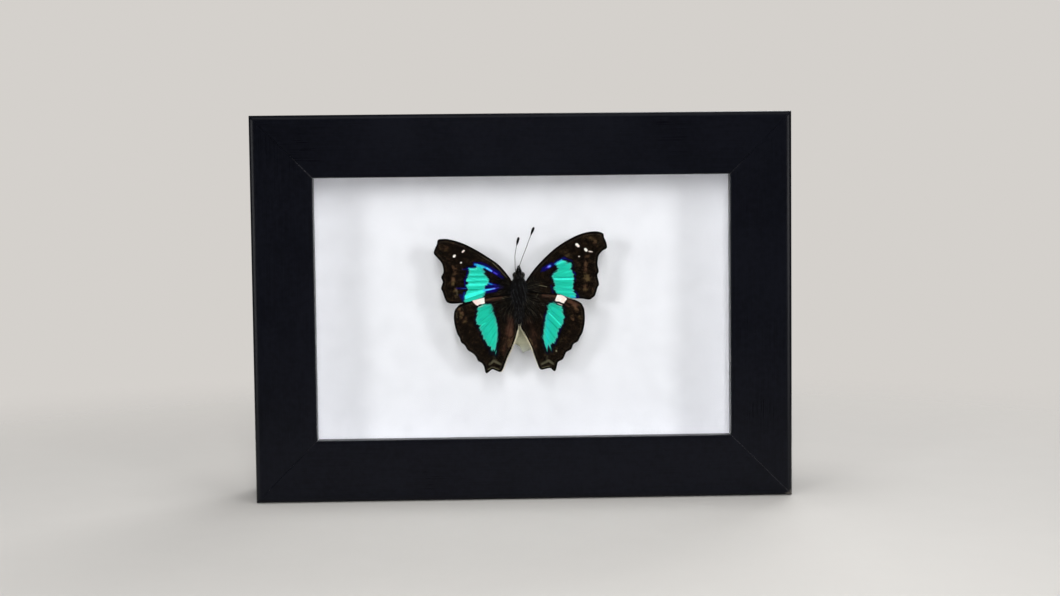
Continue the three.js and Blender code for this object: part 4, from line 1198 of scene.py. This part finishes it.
def build_body(look, materials):
    """The body is its profile turned about Z and flattened front to back, with shallow rings between the
    abdomen's segments; two ellipsoid eyes and two curved palps are joined on, then hairs by thousands."""
    rng = np.random.default_rng(11)
    line = even_line(BODY, 130)
    radius, z = line[:, 0].copy(), line[:, 1]
    segment = np.cos((z + 4.6) * 2 * np.pi / SEGMENT)
    # 1 along the abdomen, and 0 on the thorax and at the tail
    belly = np.clip((-4.4 - z) / 0.6, 0, 1) * np.clip((z + 12.1) / 0.4, 0, 1)
    radius *= 1 - 0.035 * belly * (0.5 - 0.5 * segment)
    ring = np.clip(-segment - 0.6, 0, 0.4) * 2.5 * belly
    angle = angles_round(56)
    x = radius[:, None] * np.cos(angle)
    y = BODY_DEPTH * radius[:, None] * np.sin(angle)
    skin = Surface()
    points = THORAX + np.stack([x, y, np.broadcast_to(z[:, None], x.shape)], -1)
    skin.shell(points[1:-1], ring=ring[1:-1, None])
    polar = np.linspace(0.08, np.pi - 0.08, 22)[:, None]  # the poles are left to the caps
    ball = np.sin(polar) * np.cos(angle), np.sin(polar) * np.sin(angle), np.cos(polar) + 0 * angle
    for sign in (-1, 1):
        at = np.array(EYE["at"]) * [sign, 1, 1]
        skin.shell(THORAX + (at + np.stack(ball, -1) * EYE["radii"]), kind=2)
        path = even_line(np.array(PALP) * [sign, 1, 1], 24)
        skin.shell(THORAX + tube(path, palp_radius(np.linspace(0, 1, 24)), 18, 1.2))
    add_body_hairs(skin, rng, look)
    return skin.build("butterfly_body_haired", materials, weld=0.002, sharp=70)


def palp_radius(share):
    """A palp's radius at a share of its length."""
    return np.interp(share, np.linspace(0, 1, len(PALP_RADII)), PALP_RADII)


def body_place(angle, z):
    """Points on the body's profile at an angle round it and a height."""
    line = even_line(BODY, 400)[::-1]
    radius = np.interp(z, line[:, 1], line[:, 0])
    return np.stack([radius * np.cos(angle), BODY_DEPTH * radius * np.sin(angle), z], 1)


def add_body_hairs(skin, rng, look):
    """Hairs rooted on the body's own profile, pointing back towards the tail and outwards, then short ones
    on the face and on the palps."""
    count = look.hairs
    upper = int(count * 0.62)
    z = np.concatenate([rng.uniform(WAIST, 3.3, upper), rng.uniform(-11.9, WAIST, count - upper)])
    angle = rng.uniform(0, 2 * np.pi, count)
    normal = unit(np.stack([np.cos(angle), np.sin(angle) / BODY_DEPTH, 0.12 + np.zeros(count)], 1))
    roots = body_place(angle, z) * [0.97, 0.97, 1.0]
    lower = z < WAIST
    ways = np.where(lower, 0.5, 0.62)[:, None] * normal + np.array([0, 0, -0.9])
    share = np.where(lower, rng.uniform(0.4, 1.2, count), rng.uniform(0.6, 1.35, count))
    lengths = look.hair_length / MM * share
    streak = (0.5 + 0.5 * np.sin(13 * angle + 1.3 * z)) ** 3
    coat = {"droop": (0, -0.02, -0.1), "spread": 0.2, "power": 2, "streak": streak}
    skin.hairs(rng, THORAX + roots, ways, lengths, LONG_HAIR, **coat)

    angle = rng.uniform(0, 2 * np.pi, FACE_HAIRS)
    roots = THORAX + body_place(angle, rng.uniform(3.6, 5.9, FACE_HAIRS))
    normal = np.stack([np.cos(angle), np.sin(angle), 0.5 + np.zeros(FACE_HAIRS)], 1)
    lengths = rng.uniform(0.25, 0.6, FACE_HAIRS)
    skin.hairs(rng, roots, normal, lengths, FACE_HAIR, droop=(0, 0, 0.3), power=2)

    for sign in (-1, 1):
        path = even_line(np.array(PALP) * [sign, 1, 1], 60)
        pick = rng.integers(0, 58, PALP_HAIRS)
        angle = rng.uniform(0, 2 * np.pi, PALP_HAIRS)
        out = np.stack([np.cos(angle), np.sin(angle), 0 * angle], 1)
        roots = THORAX + path[pick] + 0.8 * palp_radius(pick / 59)[:, None] * out
        ways = 0.45 * out + [0, 0, 0.9]
        lengths = rng.uniform(0.25, 0.5, PALP_HAIRS)
        skin.hairs(rng, roots, ways, lengths, PALP_HAIR, droop=(0, 0, 0), spread=0.15)


def build_antenna(name, points, material):
    """A tube along a smooth path: a bulb at the socket, a thin ringed stalk whose radius ripples at each
    joint, and a slim club that swells by a quarter of a sine wave and thins a little by a cube before its
    round tip."""
    path = even_line(points, 170)
    length = lengths_along(path)
    joint = 0.5 - 0.5 * np.cos(length * 2 * np.pi / JOINT)
    radius = 0.095 + 0.012 * joint + 0.1 * np.exp(-((length / 0.35) ** 2))
    club = np.clip((length - (length[-1] - CLUB)) / CLUB, 0, 1)
    swell = np.sin(0.5 * np.pi * np.clip(club / 0.7, 0, 1)) ** 1.4
    radius = radius + 0.36 * swell * (1 - 0.2 * club**3)
    radius[-len(TIP) :] *= TIP
    ringed = (joint > 0.62).astype(float)[:, None]
    surface = Surface()
    surface.shell(THORAX + tube(path, radius, 12), ring=ringed, club=np.clip(club * 5, 0, 1)[:, None])
    return surface.build(name, [material], weld=0.001, sharp=60)


def adopt(piece, slot, *nodes):
    """The new piece rides on the body and stands for its CAD nodes, which are hidden; slot is not used."""
    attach(piece, "root")
    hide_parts(*nodes)


def refinish(material, *nodes):
    """Gives CAD nodes a procedural material."""
    for name in nodes:
        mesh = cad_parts[name].data
        mesh.materials.clear()
        mesh.materials.append(material)


# ----------------------------------------------------------------------------------------------- the add-on


def colour_choice(name, description, *default):
    """A colour that a user may change."""
    return FloatVectorProperty(
        name=name, description=description, default=default, subtype="COLOR", size=3, min=0, max=1
    )


def power_choice(name, description, default):
    """The power of a lamp, in watts, that a user may change."""
    return FloatProperty(name=name, description=description, default=default, subtype="POWER")


class SpecimenFrameLook(bpy.types.PropertyGroup):
    """What a user may change on the box frame."""

    lacquer: colour_choice("Lacquer", "Colour of the moulding", 0.0047, 0.0052, 0.0084)
    card: colour_choice("Card", "Colour of the card behind the butterfly", 0.89, 0.884, 0.93)
    board: colour_choice("Board", "Colour of the fibreboard back", 0.26, 0.15, 0.08)
    steel: colour_choice("Steel", "Colour of the points and the hanger", 0.62, 0.62, 0.63)


class SpecimenButterflyLook(bpy.types.PropertyGroup):
    """What a user may change on the butterfly."""

    band: colour_choice("Band", "Colour of the wing bands", 0.014, 0.56, 0.38)
    violet: colour_choice("Violet", "Colour of the forewing streaks", 0.052, 0.036, 0.52)
    ground: colour_choice("Ground", "Darkest colour of the wings", 0.0030, 0.0018, 0.0011)
    ridge: FloatProperty(
        name="Vein ridge", description="Height of a vein over its wing", default=0.00007,
        unit="LENGTH", min=0, max=0.001, precision=5,
    )
    billow: FloatProperty(
        name="Billow", description="How far the wing sinks between veins", default=0.00012,
        unit="LENGTH", min=0, max=0.001, precision=5,
    )
    hairs: IntProperty(
        name="Hairs", description="Hairs on the thorax and abdomen", min=100, max=8000, default=4200
    )
    hair_length: FloatProperty(
        name="Hair length", description="Length of a usual hair on the thorax", default=0.0015,
        unit="LENGTH", min=0.0001, max=0.01, precision=4,
    )


class SpecimenStageLook(bpy.types.PropertyGroup):
    """What a user may change on the stage."""

    floor: colour_choice("Floor", "Colour of the floor", 0.72, 0.70, 0.67)
    backdrop: colour_choice("Backdrop", "Colour behind the object", 0.66, 0.635, 0.605)
    window: power_choice("Window", "Power of the soft window in front", 1.85)
    side_light: power_choice("Side lights", "Power of each side light", 3.8)
    top_light: power_choice("Top light", "Power of the overhead light", 9.0)
    back_light: power_choice("Back light", "Power of the light behind", 9.0)
    gleam: power_choice("Gleam", "Power of a lamp that only gloss shows", 3.8)
    fill: FloatProperty(name="Fill", description="Brightness of the air all round", min=0, default=0.045)
    lens: FloatProperty(name="Lens", description="Focal length", subtype="DISTANCE_CAMERA", default=54.42)


class SPECIMEN_OT_moulding(bpy.types.Operator):
    """Builds the four mitred rails of the box frame"""

    bl_idname = "specimen.moulding"
    bl_label = "Moulding"

    def execute(self, context):
        look = context.scene.specimen_frame
        material = lacquer(opaque(look.lacquer))
        for side, (length, span, turn) in RAILS.items():
            rail = build_rail(f"moulding_{side}", length, span, turn, material)
            adopt(rail, "moulding", f"rail_{side}")
        return {"FINISHED"}


class SPECIMEN_OT_glazing(bpy.types.Operator):
    """Finishes the glass, the card and the white strips between them"""

    bl_idname = "specimen.glazing"
    bl_label = "Glass and card"

    def execute(self, context):
        look = context.scene.specimen_frame
        refinish(clear_glass(), "glass_pane")
        refinish(white_card("mount_card_paper", opaque(look.card), 0.00006), "mount_card")
        strips = white_card("foam_strip_paper", colour(251, 251, 253), 0.0001)
        refinish(strips, "spacer_bottom", "spacer_top", "spacer_left", "spacer_right", "riser")
        return {"FINISHED"}


class SPECIMEN_OT_back(bpy.types.Operator):
    """Finishes the fibreboard, its retaining points and the toothed hanger"""

    bl_idname = "specimen.back"
    bl_label = "Back"

    def execute(self, context):
        look = context.scene.specimen_frame
        refinish(fibreboard(opaque(look.board)), "backing_board")
        hanger = zinc("zinc_hanger", opaque(look.steel), 0.34)
        refinish(hanger, "hanger_plate", "hanger_rivet_left", "hanger_rivet_right")
        points = [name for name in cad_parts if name.startswith("flex_point")]
        refinish(zinc("zinc_points", opaque(look.steel, 0.8), 0.42), *points)
        return {"FINISHED"}


class SPECIMEN_OT_wings(bpy.types.Operator):
    """Builds the four wings with their veins, markings and hairs"""

    bl_idname = "specimen.wings"
    bl_label = "Wings"

    def execute(self, context):
        look = context.scene.specimen_butterfly
        materials = [
            wing_scales(look),
            hair_material("wing_base_hair", colour(4, 4, 4), colour(104, 96, 82)),
            hair_material("pale_fringe", colour(196, 180, 150), colour(238, 230, 206)),
        ]
        for name, (wing, front) in WINGS.items():
            adopt(build_wing(f"{name}_scaled", wing, front, look, materials), "wing", name)
        return {"FINISHED"}


class SPECIMEN_OT_body(bpy.types.Operator):
    """Builds the body with its eyes, palps and hair"""

    bl_idname = "specimen.body"
    bl_label = "Body"

    def execute(self, context):
        look = context.scene.specimen_butterfly
        materials = [
            body_material(colour(5, 4, 4)),
            hair_material("body_hair", colour(4, 3, 3), colour(96, 96, 100), 0.5),
            eye_material(),
        ]
        adopt(build_body(look, materials), "body", "butterfly_body")
        return {"FINISHED"}


class SPECIMEN_OT_antennae(bpy.types.Operator):
    """Builds the two clubbed antennae"""

    bl_idname = "specimen.antennae"
    bl_label = "Antennae"

    def execute(self, context):
        material = antenna_material()
        for name, points in ANTENNAE.items():
            adopt(build_antenna(f"{name}_ringed", points, material), "antenna", name)
        return {"FINISHED"}


class SPECIMEN_OT_stage(bpy.types.Operator):
    """Makes the floor, the soft lights and the camera"""

    bl_idname = "specimen.stage"
    bl_label = "Stage"

    def execute(self, context):
        look = context.scene.specimen_stage
        build_floor(look)
        build_lights(look)
        build_camera(look)
        return {"FINISHED"}


def build_floor(look):
    """A disc: radius times cosine and sine of the angle, just under the frame, with a face over its hub."""
    angle = angles_round(96)
    x, y = FLOOR_RINGS[:, None] * np.cos(angle), FLOOR_RINGS[:, None] * np.sin(angle)
    points = np.stack([x, y, np.full(x.shape, FLOOR_Z)], -1)
    disc = Surface()
    disc.grid(points, wrap=True)
    disc.add(points[0], np.arange(len(angle))[None])
    floor = disc.build("floor", [pale_floor(opaque(look.floor), *FLOOR_FADE)], weld=0.01)


def from_front(turn, rise, away):
    """A place so many metres from the frame's middle, by degrees to the right of its front and upwards."""
    turn, rise = math.radians(turn), math.radians(rise)
    flat = away * math.cos(rise)
    return flat * math.sin(turn), -flat * math.cos(turn), MIDDLE * MM + away * math.sin(rise)


def hang(name, place, power, across, high=None):
    """A lamp at place that faces the frame's middle and that the camera doesn't see: a rectangle where high
    is given, and else a disc."""
    data = bpy.data.lights.new(name, "AREA")
    data.shape = "RECTANGLE" if high else "DISK"
    data.energy, data.size = power, across
    if high:
        data.size_y = high
    lamp = bpy.data.objects.new(name, data)
    bpy.context.scene.collection.objects.link(lamp)
    lamp.visible_camera = False
    lamp.location = place
    ahead = Vector((0.0, 0.0, MIDDLE * MM)) - Vector(place)
    lamp.rotation_euler = ahead.to_track_quat("-Z", "Y").to_euler()
    return lamp


def build_lights(look):
    """A tall soft window near the camera, a soft lamp to each side of it and one overhead, none of which
    gloss mirrors; gleams that only gloss shows; a lamp behind for the back; and even air."""
    soft = [hang("front_window", from_front(0, WINDOW_RISE, WINDOW_AWAY), look.window, *WINDOW_SIZE)]
    for sign, side in ((-1, "left"), (1, "right")):
        place = from_front(SIDE_LAMP_TURN * sign, SIDE_LAMP_RISE, LAMP_AWAY)
        soft.append(hang(f"side_lamp_{side}", place, look.side_light, SIDE_LAMP_SIZE))
    soft.append(hang("overhead_lamp", OVERHEAD_LAMP, look.top_light, BIG_LAMP_SIZE))
    for lamp in soft:
        lamp.visible_glossy = False
    for name, turn, rise, high, share in GLEAMS:
        place = from_front(turn, rise, LAMP_AWAY)
        hang(name, place, look.gleam * share, GLEAM_WIDTH, high).visible_diffuse = False
    hang("back_lamp", BACK_LAMP, look.back_light, BIG_LAMP_SIZE)
    m = Recipe("soft_air", bpy.data.worlds.new("soft_air"))
    seen = m.node("ShaderNodeLightPath", None, "Is Camera Ray")
    air = m.node("ShaderNodeBackground", None, Color=(1, 1, 1, 1), Strength=look.fill)
    wall = m.node("ShaderNodeBackground", None, Color=opaque(look.backdrop))
    blend = m.node("ShaderNodeMixShader", None, Fac=seen, Shader=air, Shader_001=wall)
    m.node("ShaderNodeOutputWorld", None, Surface=blend)
    bpy.context.scene.world = m.material


def build_camera(look):
    """A nearly level view from a little left of the middle and a little above it, turned by its axes."""
    data = bpy.data.cameras.new("camera")
    data.sensor_width, data.lens = 36.0, look.lens
    data.clip_start, data.clip_end = 0.01, 20.0
    camera = bpy.data.objects.new("camera", data)
    bpy.context.scene.collection.objects.link(camera)
    turn = Matrix([VIEW_RIGHT, VIEW_UP, [-part for part in VIEW_AHEAD]]).transposed()
    camera.matrix_world = Matrix.LocRotScale(CAMERA_PLACE * MM, turn.to_quaternion(), None)
    bpy.context.scene.camera = camera
    bpy.context.scene.view_settings.view_transform = "Standard"


STEPS = (
    SPECIMEN_OT_stage,
    SPECIMEN_OT_moulding,
    SPECIMEN_OT_glazing,
    SPECIMEN_OT_back,
    SPECIMEN_OT_wings,
    SPECIMEN_OT_body,
    SPECIMEN_OT_antennae,
)


class SPECIMEN_PT_steps(bpy.types.Panel):
    """Lists the steps and the looks they use"""

    bl_idname = "SPECIMEN_PT_steps"
    bl_label = "Specimen"
    bl_space_type = "VIEW_3D"
    bl_region_type = "UI"
    bl_category = "Specimen"

    def draw(self, context):
        for step in STEPS:
            self.layout.operator(step.bl_idname)
        for name, kind in LOOKS.items():
            box = self.layout.box()
            for key in kind.__annotations__:
                box.prop(getattr(context.scene, name), key)


LOOKS = {
    "specimen_frame": SpecimenFrameLook,
    "specimen_butterfly": SpecimenButterflyLook,
    "specimen_stage": SpecimenStageLook,
}


def register():
    for kind in (*LOOKS.values(), *STEPS, SPECIMEN_PT_steps):
        bpy.utils.register_class(kind)
    for name, kind in LOOKS.items():
        setattr(bpy.types.Scene, name, PointerProperty(type=kind))


def unregister():
    for name in LOOKS:
        delattr(bpy.types.Scene, name)
    for kind in (SPECIMEN_PT_steps, *reversed(STEPS), *reversed(LOOKS.values())):
        bpy.utils.unregister_class(kind)


def main():
    register()
    for step in STEPS:
        group, name = step.bl_idname.split(".")
        getattr(getattr(bpy.ops, group), name)()
    bpy.context.view_layer.update()


if __name__ == "__main__":
    main()
